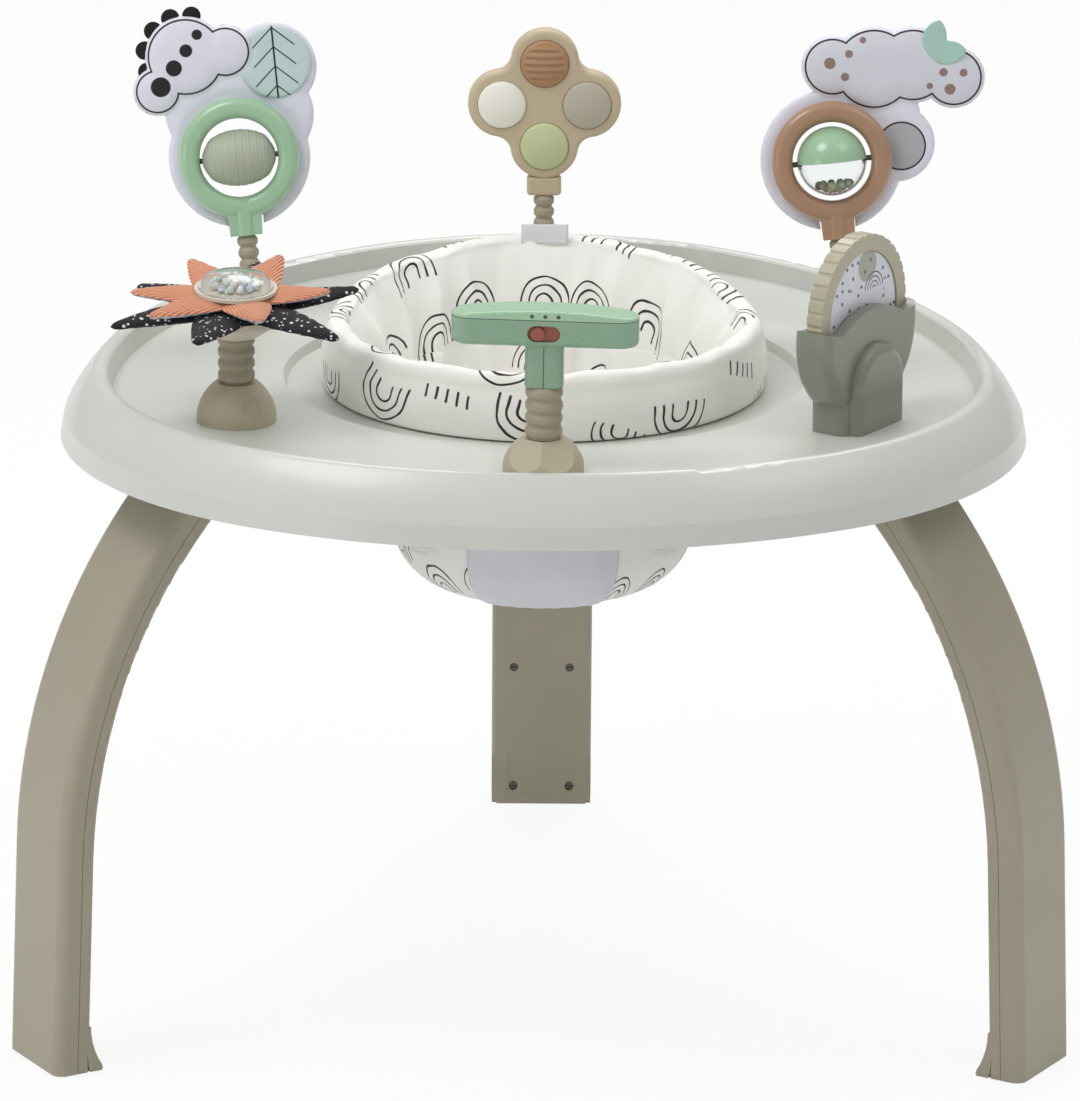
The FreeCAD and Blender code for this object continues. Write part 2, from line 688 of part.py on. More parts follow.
def leg_hollow():
    width = LEG_WIDTH - 2 * LEG_WALL
    corner = LEG_OUTER_CORNER - LEG_WALL
    face = leg_face(LEG_WALL, LEG_THICKNESS - LEG_WALL, width, corner, LEG_INNER_CORNER / 2)
    floor = FOOT_LIFT + LEG_SOLE_WALL
    room = block(LEG_FOOT_REACH * 2, LEG_WIDTH * 2, RIM_TOP_Z, LEG_FOOT_REACH, 0, floor)
    return leg_sweep(face, RIM_TOP_Z).common(room)


def leg_inner_zone(depth):
    face = leg_face(depth, LEG_THICKNESS * 2, LEG_WIDTH * 2, RUNNING_GAP, RUNNING_GAP)
    return leg_sweep(face, RIM_TOP_Z)


# The inner face spreads towards the floor along one arc.
def flare_radius():
    return (FLARE_HEIGHT ** 2 + FLARE_REACH ** 2) / (2 * FLARE_REACH)


def inner_face_x(z):
    below = max(0.0, FLARE_HEIGHT - z)
    spread = flare_radius() - math.sqrt(flare_radius() ** 2 - below ** 2)
    return LEG_FOOT_REACH - LEG_THICKNESS - z * math.tan(math.radians(LEG_SPLAY)) - spread


def leg_screw_places():
    places = []
    for height in LEG_SCREW_HEIGHTS:
        for sign in (1, -1):
            places.append(V(inner_face_x(height), sign * LEG_SCREW_SPACING / 2, height))
    return places


def leg_screw_axis():
    splay = math.radians(LEG_SPLAY)
    return V(math.cos(splay), 0, math.sin(splay))


def leg_shell():
    split = LEG_THICKNESS - LEG_COVER_DEPTH
    body = leg_solid().cut(leg_hollow()).cut(leg_inner_zone(split))
    outer_half = leg_solid().cut(leg_inner_zone(split))
    bosses = []
    axis = leg_screw_axis()
    for p in leg_screw_places():
        bosses.append(rod(SCREW_BOSS_RADIUS, LEG_THICKNESS * 2, p, axis).common(outer_half))
    pilots = []
    for p in leg_screw_places():
        pilots.append(rod(SCREW_SHANK_RADIUS + RUNNING_GAP, LEG_SCREW_LENGTH, p + axis * SCREW_RECESS, axis))
    pocket = foot_pad(PAD_THICKNESS + SEAT_GAP, SEAT_GAP)
    return join([body] + bosses).cut(pilots + [pocket])


# The patch for a label: the cover's own face set back a little.
def label_recess(outside):
    height = LABEL_TOP - LABEL_BOTTOM
    zone = block(LEG_THICKNESS, 2 * LABEL_HALF_WIDTH, height, inner_face_x(LABEL_BOTTOM), 0, LABEL_BOTTOM)
    return zone.cut(moved(outside, LABEL_RECESS, 0, 0))


def leg_cover():
    zone = leg_inner_zone(LEG_THICKNESS - LEG_COVER_DEPTH + LEG_PARTING)
    width = LEG_WIDTH - LEG_PARTING
    narrow = leg_face(0, LEG_THICKNESS, width, LEG_OUTER_CORNER, LEG_INNER_CORNER)
    slab = leg_sweep(narrow, TRAY_UNDERSIDE_Z - SEAT_GAP)
    outside = slab.fuse(leg_flare(width, FOOT_LIFT, LEG_INNER_CORNER)).common(zone)
    axis = leg_screw_axis()
    ears = []
    cuts = [label_recess(outside)]
    sink = SCREW_RECESS + SCREW_HEAD_HEIGHT
    for p in leg_screw_places():
        ears.append(rod(SCREW_BOSS_RADIUS, LEG_THICKNESS, p, axis).common(zone))
        start = p - axis * SCREW_LENGTH
        cuts.append(rod(SCREW_SHANK_RADIUS + RUNNING_GAP, SCREW_LENGTH + LEG_THICKNESS, start, axis))
        cuts.append(rod(SCREW_HEAD_RADIUS + SEAT_GAP, SCREW_LENGTH, p + axis * (sink - SCREW_LENGTH), axis))
    ears = [ear.common(outside) for ear in ears]
    return join([outside.cut(leg_hollow())] + ears).cut(cuts)


def screw(start, axis, length):
    head = rod(SCREW_HEAD_RADIUS, SCREW_HEAD_HEIGHT, start, axis)
    shank = rod(SCREW_SHANK_RADIUS, length, start, axis)
    slot_depth = SCREW_HEAD_HEIGHT / 2
    width = SCREW_SHANK_RADIUS / 2
    arm = Part.makeBox(SCREW_HEAD_RADIUS * 2, width, slot_depth, V(-SCREW_HEAD_RADIUS, -width / 2, 0))
    cross = arm.fuse(turned(arm, CENTRE, UP, FULL_TURN / 4))
    cross.Placement = FreeCAD.Placement(start, FreeCAD.Rotation(UP, axis))
    return head.fuse(shank).cut(cross)


def frame_screws():
    axis = leg_screw_axis()
    screws = []
    for angle in LEG_ANGLES.values():
        for p in leg_screw_places():
            leg_screw = screw(p + axis * SCREW_RECESS, axis, LEG_SCREW_LENGTH)
            screws.append(turned(leg_screw, CENTRE, UP, angle))
    for p in socket_screw_places():
        screws.append(screw(p + V(0, 0, ear_bottom_z() - SCREW_HEAD_HEIGHT), UP, SCREW_LENGTH))
    return group(screws)


def foot_pad(height, gap=0.0):
    x = LEG_FOOT_REACH - PAD_DEPTH_PLACE
    return rounded_bar(PAD_WIDTH + 2 * gap, PAD_LENGTH + 2 * gap, height, PAD_CORNER, x, 0, 0)


def leg_socket():
    low = SKIRT_BOTTOM_Z + LEG_WALL
    sleeve = leg_solid(SEAT_GAP + SOCKET_WALL).cut(leg_solid(SEAT_GAP))
    slab = block(LEG_FOOT_REACH * 2, LEG_WIDTH * 2, TRAY_UNDERSIDE_Z - low, LEG_FOOT_REACH, 0, low)
    reach = leg_outer_radius((SKIRT_BOTTOM_Z + FLOOR_Z) / 2) - LEG_THICKNESS / 2
    span = LEG_WIDTH + 2 * (SOCKET_WALL + SOCKET_EAR_REACH)
    ears = block(SOCKET_EAR_DEPTH, span, SOCKET_EAR_THICKNESS, reach, 0, ear_bottom_z())
    ears = ears.cut(leg_solid(SEAT_GAP))
    body = join([sleeve.common(slab), ears])
    side = LEG_WIDTH / 2 + SOCKET_WALL + SOCKET_EAR_REACH / 2
    holes = [rod(SCREW_SHANK_RADIUS + SEAT_GAP, RIM_TOP_Z, V(reach, side * sign, 0)) for sign in (1, -1)]
    return body.cut(holes)


def around_legs(shape):
    return group([turned(shape, CENTRE, UP, angle) for angle in LEG_ANGLES.values()])


# Seat ring: a flange that turns on the well floor, a neck through the tray and an upstand
# that carries the padded cuff.
def seat_ring():
    neck = SEAT_HOLE_RADIUS - NECK_GAP
    steps = [
        at(neck, CLAMP_TOP_Z), at(neck, FLANGE_BOTTOM_Z), at(FLANGE_RADIUS, FLANGE_BOTTOM_Z),
        at(FLANGE_RADIUS, FLANGE_TOP_Z), at(RING_WALL_RADIUS + RING_WALL, FLANGE_TOP_Z),
        at(RING_WALL_RADIUS + RING_WALL, RING_TOP_Z), at(RING_WALL_RADIUS, RING_TOP_Z),
    ]
    return lathe(at(RING_WALL_RADIUS, CLAMP_TOP_Z), steps)


def seat_clamp_ring():
    low = CLAMP_TOP_Z - CLAMP_THICKNESS
    steps = [at(CLAMP_RADIUS, low), at(CLAMP_RADIUS, CLAMP_TOP_Z), at(RING_WALL_RADIUS, CLAMP_TOP_Z)]
    return lathe(at(RING_WALL_RADIUS, low), steps)


def cuff_crest_wire(angle, lift):
    k = math.sqrt(1 / 2)
    rise = CUFF_TOP_Z + lift - CUFF_SHOULDER_Z
    outer_run = CUFF_RADIUS - CUFF_CREST_RADIUS
    inner_run = CUFF_CREST_RADIUS - CUFF_INNER_RADIUS
    points = [
        (CUFF_RADIUS - CREST_SEAM, -CREST_SEAM),
        (CUFF_CREST_RADIUS + outer_run * k, rise * k), (CUFF_CREST_RADIUS, rise),
        (CUFF_CREST_RADIUS - inner_run * k, rise * k),
        (CUFF_INNER_RADIUS + CREST_SEAM, -CREST_SEAM),
    ]
    p = [polar(radius, angle, CUFF_SHOULDER_Z + up) for radius, up in points]
    edges = [Part.Arc(p[0], p[1], p[2]).toShape(), Part.Arc(p[2], p[3], p[4]).toShape()]
    edges.append(Part.LineSegment(p[4], p[0]).toShape())
    return Part.Wire(edges)


def cuff_back_crest():
    half = FULL_TURN / 2
    wires = []
    for k in range(CUFF_BACK_SECTIONS):
        angle = half * k / (CUFF_BACK_SECTIONS - 1)
        lift = CUFF_BACK_LIFT * math.sin(math.radians(angle)) ** 2
        wires.append(cuff_crest_wire(angle, lift))
    return Part.makeLoft(wires, True, False)


def seat_cuff():
    front = Part.Face(cuff_crest_wire(FULL_TURN / 2, 0)).revolve(CENTRE, UP, FULL_TURN / 2)
    wall_in = RING_WALL_RADIUS - SEAT_GAP
    wall_out = RING_WALL_RADIUS + RING_WALL + SEAT_GAP
    wall_top = RING_TOP_Z + SEAT_GAP
    flange_top = FLANGE_TOP_Z + SEAT_GAP
    flange_out = FLANGE_RADIUS + SEAT_GAP
    steps = [
        at(CUFF_RADIUS, CUFF_SHOULDER_Z), at(CUFF_INNER_RADIUS, CUFF_SHOULDER_Z),
        at(CUFF_SKIRT_RADIUS - TRAY_WALL * 3, CUFF_SKIRT_Z), at(CUFF_SKIRT_RADIUS, CUFF_SKIRT_Z),
        at(wall_in, CUFF_SKIRT_Z), at(wall_in, wall_top), at(wall_out, wall_top),
        at(wall_out, flange_top), at(flange_out, flange_top), at(flange_out, CUFF_BOTTOM_Z),
    ]
    band = lathe(at(CUFF_RADIUS, CUFF_BOTTOM_Z), steps)
    return join([band, front, cuff_back_crest()])


# The bucket's outer outline, from its rim to its middle.
def bucket_outline():
    steps = [
        (at(BUCKET_WAIST_RADIUS, BUCKET_WAIST_Z), at(BUCKET_HEEL_RADIUS, BUCKET_HEEL_Z)),
        (at(BUCKET_TURN_RADIUS, BUCKET_TURN_Z), at(BUCKET_FLOOR_RADIUS, BUCKET_FLOOR_Z)),
        at(0, BUCKET_FLOOR_Z),
    ]
    return wire_of(at(BUCKET_TOP_RADIUS, BUCKET_RIM_Z), steps, closed=False)


# Offsets an open outline outwards; with fill it gives the face between the two.
def spread(outline, distance, fill):
    result = outline.makeOffset2D(distance, 0, fill, True, False)
    grown = result.BoundBox.ZMin < outline.BoundBox.ZMin - RUNNING_GAP
    if grown != (distance > 0):
        result = outline.makeOffset2D(-distance, 0, fill, True, False)
    return result


def leg_holes():
    holes = []
    for sign in (1, -1):
        direction = polar(1, -FULL_TURN / 4 + sign * LEG_HOLE_ANGLE)
        holes.append(rod(LEG_HOLE_RADIUS, CUFF_RADIUS, V(0, 0, LEG_HOLE_Z), direction))
    return holes


def seat_bucket():
    skin = spread(bucket_outline(), -BUCKET_WALL, True).revolve(CENTRE, UP, FULL_TURN)
    return skin.common(rod(CUFF_RADIUS, BUCKET_TOP_Z, CENTRE)).cut(leg_holes())


def crotch_panel():
    near = spread(bucket_outline(), SEAT_GAP, False)
    band = spread(near, PANEL_THICKNESS, True).revolve(CENTRE, UP, 2 * PANEL_ANGLE)
    band = turned(band, CENTRE, UP, -FULL_TURN / 4 - PANEL_ANGLE)
    keep = block(CUFF_RADIUS * 2, CUFF_RADIUS, BUCKET_TOP_Z - PANEL_TOP_MARGIN, 0, -CUFF_RADIUS / 2, 0)
    core = rod(PANEL_START_RADIUS, BUCKET_TOP_Z, CENTRE)
    return band.common(keep).cut([core] + leg_holes())


def seat_tag():
    low = CUFF_TOP_Z + CUFF_BACK_LIFT + RUNNING_GAP
    return block(TAG_WIDTH, TAG_THICKNESS, TAG_HEIGHT, 0, CUFF_CREST_RADIUS, low)


# Ribbed stem with a plug at each end, standing at height low.
def ribbed_stem(size, length, ribs, low):
    pitch = length / ribs
    land = pitch * STEM_LAND_SHARE
    flank = (pitch - land) / 2
    parts = []
    for k in range(ribs):
        foot = low + k * pitch
        levels = (
            (size["root"], foot), (size["radius"], foot + flank),
            (size["radius"], foot + flank + land), (size["root"], foot + pitch),
        )
        rings = [Part.Wire(Part.makeCircle(radius, V(0, 0, level))) for radius, level in levels]
        parts.append(Part.makeLoft(rings, True, True))
    parts.append(rod(size["plug"], length + 2 * STEM_PLUG_LENGTH, V(0, 0, low - STEM_PLUG_LENGTH)))
    return join(parts)


def stem_bore(size, low):
    length = STEM_PLUG_LENGTH + SEAT_GAP
    return rod(size["plug"] + SEAT_GAP, length + OVERRUN, V(0, 0, low - length))


def head_bore(size, low):
    return rod(size["plug"] + SEAT_GAP, STEM_PLUG_LENGTH + SEAT_GAP, V(0, 0, low))


def domed_base(size):
    across = BASE_BULGE_SHARES[0]
    up = BASE_BULGE_SHARES[1]
    run = size["radius"] - size["top"]
    rise = size["height"] - size["skirt"]
    shoulder = at(size["top"] + run * across, size["skirt"] + rise * up)
    top = at(size["top"], size["height"])
    steps = [at(size["radius"], 0), at(size["radius"], size["skirt"]), (shoulder, top), at(0, top.z)]
    return lathe(CENTRE, steps)


def music_base():
    base = domed_base(MUSIC_BASE)
    height = MUSIC_BASE["height"]
    size = MUSIC_BASE["radius"] * 2
    for angle in FACET_ANGLES:
        cutter = block(size, size, height * 4, size / 2, 0, -height * 2)
        cutter = moved(turned(cutter, CENTRE, DEPTH, -FACET_TILT), FACET_REACH, 0, height / 2)
        base = base.cut(turned(cutter, CENTRE, UP, angle))
    return base.cut(stem_bore(THICK_STEM, height))


def flower_base():
    ball = Part.makeSphere(DIMPLE_RADIUS, polar(DIMPLE_REACH, DIMPLE_ANGLE, DIMPLE_HEIGHT))
    return domed_base(FLOWER_BASE).cut([ball, stem_bore(THICK_STEM, FLOWER_BASE["height"])])


# The ring toys lean to the left and back from the base's top.
def lean(shape):
    foot = V(0, 0, CONE_BASE["height"])
    return turned(turned(shape, foot, DEPTH, -RING_TOY_LEAN), foot, ACROSS, -RING_TOY_TILT)


def thin_stem_bases():
    bore = stem_bore(THIN_STEM, CONE_BASE["height"])
    bases = [place(domed_base(CONE_BASE).cut(bore), CLOVER_PLACE)]
    for where in (LEFT_RING_PLACE, RIGHT_RING_PLACE):
        bases.append(place(domed_base(CONE_BASE).cut(lean(bore)), where))
    return group(bases)


# Music box, its neck standing on the stem at neck_z. The switch side faces away from the seat.
def music_levels():
    neck = MUSIC_BASE["height"] + MUSIC_STEM_LENGTH
    low = neck + MUSIC_NECK_HEIGHT
    parting = low + MUSIC_LOWER_HEIGHT
    return neck, low, parting


def switch_z():
    neck, low, parting = music_levels()
    return low + MUSIC_LOWER_HEIGHT * SWITCH_SLOT_Z_SHARE


def slot_bar(length, height, thickness, x, y, z):
    bar = rounded_face(length, height, height / 2 - RUNNING_GAP).extrude(V(0, 0, thickness))
    bar.rotate(CENTRE, ACROSS, FULL_TURN / 4)
    return moved(bar, x, y + thickness, z)


def button_places():
    neck, low, parting = music_levels()
    middle = low - FACE_DROP + FACE_HEIGHT / 2
    y = MUSIC_DEPTH / 2 + FACE_THICKNESS
    return {"left": V(-BUTTON_SPACING / 2, y, middle), "right": V(BUTTON_SPACING / 2, y, middle)}


def music_hollow(height, low):
    wall = MUSIC_WALL * 2
    corner = MUSIC_CORNER - MUSIC_WALL
    return rounded_bar(MUSIC_WIDTH - wall, MUSIC_DEPTH - wall, height, corner, 0, 0, low)


def music_case_lower():
    neck, low, parting = music_levels()
    bar = rounded_bar(MUSIC_WIDTH, MUSIC_DEPTH, MUSIC_LOWER_HEIGHT, MUSIC_CORNER, 0, 0, low)
    bar = bar.makeFillet(MUSIC_LOWER_EDGE, edges_at(bar, low))
    hollow = music_hollow(MUSIC_LOWER_HEIGHT, low + MUSIC_WALL)
    height = MUSIC_NECK_HEIGHT + MUSIC_WALL / 2
    post = rounded_bar(MUSIC_NECK_WIDTH, MUSIC_NECK_DEPTH, height, MUSIC_NECK_CORNER, 0, 0, neck)
    start = -MUSIC_DEPTH / 2 - OVERRUN / 2
    slot = slot_bar(SWITCH_SLOT_LENGTH, SWITCH_SLOT_HEIGHT, OVERRUN, 0, start, switch_z())
    depth = MUSIC_WALL + BUTTON_FLANGE_THICKNESS + BUTTON_TRAVEL + FACE_THICKNESS
    wells = []
    for p in button_places().values():
        wells.append(rod(BUTTON_RADIUS + BUTTON_FLANGE + SEAT_GAP, depth, p - V(0, depth, 0), DEPTH))
    door_z = low - OVERRUN + MUSIC_WALL * 2
    door = rounded_bar(DOOR_WIDTH, DOOR_DEPTH, OVERRUN, DOOR_CORNER, -DOOR_OFFSET, 0, door_z)
    return join([bar.cut(hollow), post]).cut([slot, door, head_bore(THICK_STEM, neck)] + wells)


# The lid's top is crowned along its length.
def music_case_upper():
    neck, low, parting = music_levels()
    bar = rounded_bar(MUSIC_WIDTH, MUSIC_DEPTH, MUSIC_UPPER_HEIGHT, MUSIC_CORNER, 0, 0, parting)
    middle = V(0, -MUSIC_DEPTH, parting + MUSIC_UPPER_HEIGHT - MUSIC_CROWN_RADIUS)
    bar = bar.common(rod(MUSIC_CROWN_RADIUS, MUSIC_DEPTH * 2, middle, DEPTH))
    top = [edge for edge in bar.Edges if edge.BoundBox.ZMin > parting + MUSIC_WALL / 2]
    bar = bar.makeFillet(MUSIC_UPPER_EDGE, top)
    hollow = music_hollow(MUSIC_UPPER_HEIGHT, parting)
    hollow = hollow.common(rod(MUSIC_CROWN_RADIUS - MUSIC_WALL, MUSIC_DEPTH * 2, middle, DEPTH))
    return bar.cut(hollow)


def music_switch():
    y = -MUSIC_DEPTH / 2 + MUSIC_WALL + SEAT_GAP
    z = switch_z()
    length = SWITCH_SLOT_LENGTH + SWITCH_OVERLAP
    x = SWITCH_TRAVEL / 2 - SWITCH_REST_OFFSET
    plate = slot_bar(length, SWITCH_SLOT_HEIGHT + MUSIC_WALL, SWITCH_THICKNESS, x, y, z)
    start = V(-SWITCH_REST_OFFSET, y + RUNNING_GAP, z)
    bump = rod(SWITCH_BUMP_RADIUS, SWITCH_BUMP_REACH + SEAT_GAP + RUNNING_GAP, start, V(0, -1, 0))
    return join([plate, bump])


def music_face():
    neck, low, parting = music_levels()
    plate = rounded_face(FACE_WIDTH, FACE_HEIGHT, FACE_CORNER).extrude(V(0, 0, FACE_THICKNESS - SEAT_GAP))
    plate.rotate(CENTRE, ACROSS, FULL_TURN / 4)
    plate = moved(plate, 0, MUSIC_DEPTH / 2 + FACE_THICKNESS, low - FACE_DROP + FACE_HEIGHT / 2)
    holes = []
    for p in button_places().values():
        holes.append(rod(BUTTON_RADIUS + SEAT_GAP, OVERRUN, p - V(0, OVERRUN / 2, 0), DEPTH))
    return plate.cut(holes)


def music_button(side):
    p = button_places()[side]
    stalk = FACE_THICKNESS + BUTTON_REACH
    back = p - V(0, FACE_THICKNESS + SEAT_GAP / 2, 0)
    cap = rod(BUTTON_RADIUS, stalk, back, DEPTH)
    front = [e for e in cap.Edges if abs(e.BoundBox.YMin - back.y - stalk) < RUNNING_GAP]
    cap = cap.makeFillet(BUTTON_REACH / 2, front)
    start = back - V(0, BUTTON_FLANGE_THICKNESS, 0)
    flange = rod(BUTTON_RADIUS + BUTTON_FLANGE, BUTTON_FLANGE_THICKNESS, start, DEPTH)
    return join([cap, flange])


def music_sound_unit():
    neck, low, parting = music_levels()
    base = low + MUSIC_WALL + SEAT_GAP
    board = block(BOARD_LENGTH, BOARD_THICKNESS, BOARD_HEIGHT, 0, 0, base)
    start = V(0, BOARD_THICKNESS / 2, base + BOARD_HEIGHT / 2)
    speaker = rod(SPEAKER_RADIUS, SPEAKER_DEPTH, start, DEPTH)
    return join([board, speaker])


def battery_door():
    neck, low, parting = music_levels()
    width = DOOR_WIDTH - 2 * SEAT_GAP
    depth = DOOR_DEPTH - 2 * SEAT_GAP
    return rounded_bar(width, depth, DOOR_THICKNESS, DOOR_CORNER, -DOOR_OFFSET, 0, low + SEAT_GAP)


def set_music(shape):
    tipped = turned(shape, V(0, 0, MUSIC_BASE["height"]), DEPTH, MUSIC_LEAN)
    return place(tipped, MUSIC_PLACE, MUSIC_YAW)


# Flower: hub on the stem, two sewn stars of padded petals, a cap and a clear dome.
def flower_levels():
    hub = FLOWER_BASE["height"] + FLOWER_STEM_LENGTH
    rim_top = hub + HUB_HEIGHT
    black = rim_top + PETAL_GAP + BLACK["thick"] / 2
    orange = black + BLACK["thick"] / 2 + PETAL_GAP + ORANGE["thick"] / 2
    cap = orange + ORANGE["thick"] / 2 + PETAL_GAP
    return hub, rim_top, black, orange, cap


def flower_hub():
    hub, rim_top, black, orange, cap = flower_levels()
    top = cap + CAP_THICKNESS
    bulge = at((HUB_LOW_RADIUS + HUB_RIM_RADIUS * 3) / 4, (hub + rim_top) / 2)
    steps = [
        at(HUB_LOW_RADIUS, hub), (bulge, at(HUB_RIM_RADIUS, rim_top - HUB_RIM_HEIGHT)),
        at(HUB_RIM_RADIUS, rim_top), at(HUB_POST_RADIUS, rim_top), at(HUB_POST_RADIUS, cap),
        at(CAP_RADIUS, cap), at(CAP_RADIUS, top), at(0, top),
    ]
    return lathe(at(0, hub), steps).cut(head_bore(THICK_STEM, hub))


def flower_dome():
    hub, rim_top, black, orange, cap = flower_levels()
    dome = domed_shell(DOME_RADIUS, DOME_HEIGHT, DOME_EDGE, DOME_WALL, 0)
    return moved(dome, 0, 0, cap + CAP_THICKNESS)


def flower_beads():
    hub, rim_top, black, orange, cap = flower_levels()
    level = cap + CAP_THICKNESS + DOME_BEAD_RADIUS
    beads = []
    for reach, count in DOME_BEAD_RINGS:
        for k in range(count):
            beads.append(Part.makeSphere(DOME_BEAD_RADIUS, polar(reach, FULL_TURN * k / count, level)))
    return group(beads)


def petal_wire(reach, half, thick, z):
    high = V(reach, 0, z + thick / 2)
    low = V(reach, 0, z - thick / 2)
    side = V(reach, half, z)
    far = V(reach, -half, z)
    return Part.Wire([Part.Arc(side, high, far).toShape(), Part.Arc(far, low, side).toShape()])


def petal(size, level, reach, rise):
    span = reach - PETAL_INNER_RADIUS
    wires = []
    for along, width, depth in zip(PETAL_ALONG_SHARES, PETAL_WIDTH_SHARES, PETAL_DEPTH_SHARES):
        place_along = PETAL_INNER_RADIUS + span * along
        z = level + rise * along ** 2
        wires.append(petal_wire(place_along, size["half"] * width, size["thick"] * depth, z))
    return Part.makeLoft(wires, True, False)


def star(size, level, table):
    petals = [turned(petal(size, level, reach, rise), CENTRE, UP, angle) for angle, reach, rise in table]
    middle = rod(HUB_POST_RADIUS + SEAT_GAP, size["thick"] * 2, V(0, 0, level - size["thick"]))
    above = rod(CAP_RADIUS + SEAT_GAP, size["thick"], V(0, 0, level + size["thick"] / 2 + PETAL_GAP / 4))
    return petals[0].fuse(petals[1:]).cut([middle, above])


def set_flower(shape):
    return place(turned(shape, V(0, 0, FLOWER_BASE["height"]), ACROSS, FLOWER_TILT), FLOWER_PLACE)


# Ring toys. Built about the ring's centre with the hole along Y, then raised and leaned.
def ring_section(inner, outer, depth, edge):
    k = edge * (1 - math.sqrt(1 / 2))
    return [
        V(inner, -depth + edge, 0), (V(inner + k, -depth + k, 0), V(inner + edge, -depth, 0)),
        V(outer - edge, -depth, 0), (V(outer - k, -depth + k, 0), V(outer, -depth + edge, 0)),
        V(outer, 0, 0),
    ]


def ring_half():
    wall = RING_WALL_THICKNESS
    half = RING_DEPTH / 2
    section = ring_section(RING_HOLE_RADIUS, RING_OUTER_RADIUS, half, RING_EDGE)
    outside = wire_of(V(RING_HOLE_RADIUS, 0, 0), section)
    inner = RING_HOLE_RADIUS + wall
    outer = RING_OUTER_RADIUS - wall
    inside = wire_of(V(inner, 0, 0), ring_section(inner, outer, half - wall, RING_EDGE - wall))
    solid = Part.Face(outside).revolve(CENTRE, DEPTH, FULL_TURN)
    hollow = Part.Face(inside).revolve(CENTRE, DEPTH, FULL_TURN)
    return solid, hollow


def ring_neck():
    top = -RING_HOLE_RADIUS - RING_WALL_THICKNESS
    low = -RING_CENTRE_RISE
    half_low = RING_NECK_WIDTH / 2
    half_top = RING_NECK_TOP_WIDTH / 2
    steps = [V(half_low, 0, low), V(half_top, 0, top), V(-half_top, 0, top)]
    face = Part.Face(wire_of(V(-half_low, 0, low), steps))
    body = moved(face.extrude(V(0, RING_NECK_DEPTH / 2, 0)), 0, -RING_NECK_DEPTH / 2, 0)
    rib_depth = RING_NECK_DEPTH + 2 * NECK_RIB_RISE
    rib = rounded_bar(NECK_RIB_WIDTH, rib_depth, top - low, NECK_RIB_CORNER, 0, 0, low)
    front = block(RING_NECK_TOP_WIDTH, RING_DEPTH * 2, top - low, 0, -RING_DEPTH, low)
    hole = rod(RING_HOLE_RADIUS, RING_DEPTH * 2, V(0, -RING_DEPTH, 0), DEPTH)
    return body.fuse(rib.common(front)).cut(hole)


def axle_bores():
    start = RING_HOLE_RADIUS - RING_WALL_THICKNESS
    length = AXLE_INSET + RING_WALL_THICKNESS
    bores = []
    for sign in (1, -1):
        bores.append(rod(AXLE_RADIUS + RUNNING_GAP, length, V(sign * start, 0, 0), V(sign, 0, 0)))
    return bores


# Blocks inside the ring that hold the pins.
def axle_seats():
    seats = []
    for sign in (1, -1):
        start = RING_HOLE_RADIUS + RING_WALL_THICKNESS / 2
        seats.append(rod(AXLE_RADIUS * 2, AXLE_INSET, V(sign * start, 0, 0), V(sign, 0, 0)))
    return seats


def ring_front():
    solid, hollow = ring_half()
    size = RING_OUTER_RADIUS * 4
    front = block(size, RING_DEPTH, size, 0, -RING_DEPTH / 2, -size / 2)
    seats = [seat.common(front) for seat in axle_seats()]
    body = join([solid.cut(hollow), ring_neck().cut(hollow)] + seats)
    return body.cut(axle_bores() + [head_bore(THIN_STEM, -RING_CENTRE_RISE)])


def ring_rear():
    return ring_front().mirror(CENTRE, DEPTH)


def spinner_axle():
    length = 2 * (RING_HOLE_RADIUS + AXLE_INSET - RUNNING_GAP)
    return rod(AXLE_RADIUS, length, V(-length / 2, 0, 0), ACROSS)


def spinner():
    n = SPINNER_BANDS
    points = []
    for k in range(n + 1):
        x = -SPINNER_HALF_LENGTH + 2 * SPINNER_HALF_LENGTH * k / n
        share = math.sqrt(max(0.0, 1 - (x / SPINNER_HALF_LENGTH) ** 2))
        points.append(V(x, SPINNER_HUB_RADIUS + (SPINNER_RADIUS - SPINNER_HUB_RADIUS) * share, 0))
    steps = [points[0]]
    for first, second in zip(points, points[1:]):
        middle = (first + second) * (1 / 2)
        across = second - first
        normal = V(-across.y, across.x, 0).normalize()
        steps.append((middle + normal * SPINNER_BAND_DEPTH, second))
    steps.append(V(SPINNER_HALF_LENGTH, 0, 0))
    body = lathe(V(-SPINNER_HALF_LENGTH, 0, 0), steps, FULL_TURN, ACROSS)
    length = SPINNER_HALF_LENGTH * 4
    return body.cut(rod(AXLE_RADIUS + RUNNING_GAP, length, V(-length / 2, 0, 0), ACROSS))


def ball_half(sign):
    shell = Part.makeSphere(BALL_RADIUS).cut(Part.makeSphere(BALL_RADIUS - BALL_WALL))
    bosses = []
    for side in (1, -1):
        start = V(side * (BALL_RADIUS - BALL_PIN_ENGAGE), 0, 0)
        boss = rod(AXLE_RADIUS * 2, BALL_PIN_ENGAGE, start, V(side, 0, 0))
        bosses.append(boss.common(Part.makeSphere(BALL_RADIUS)))
    size = BALL_RADIUS * 4
    keep = block(size, size, size, 0, 0, BALL_HALF_GAP / 2)
    if sign < 0:
        keep = block(size, size, size, 0, 0, -size - BALL_HALF_GAP / 2)
    start = BALL_RADIUS - BALL_PIN_ENGAGE - RUNNING_GAP
    bores = []
    for side in (1, -1):
        bores.append(rod(AXLE_RADIUS + RUNNING_GAP, OVERRUN, V(side * start, 0, 0), V(side, 0, 0)))
    return join([shell] + bosses).common(keep).cut(bores)


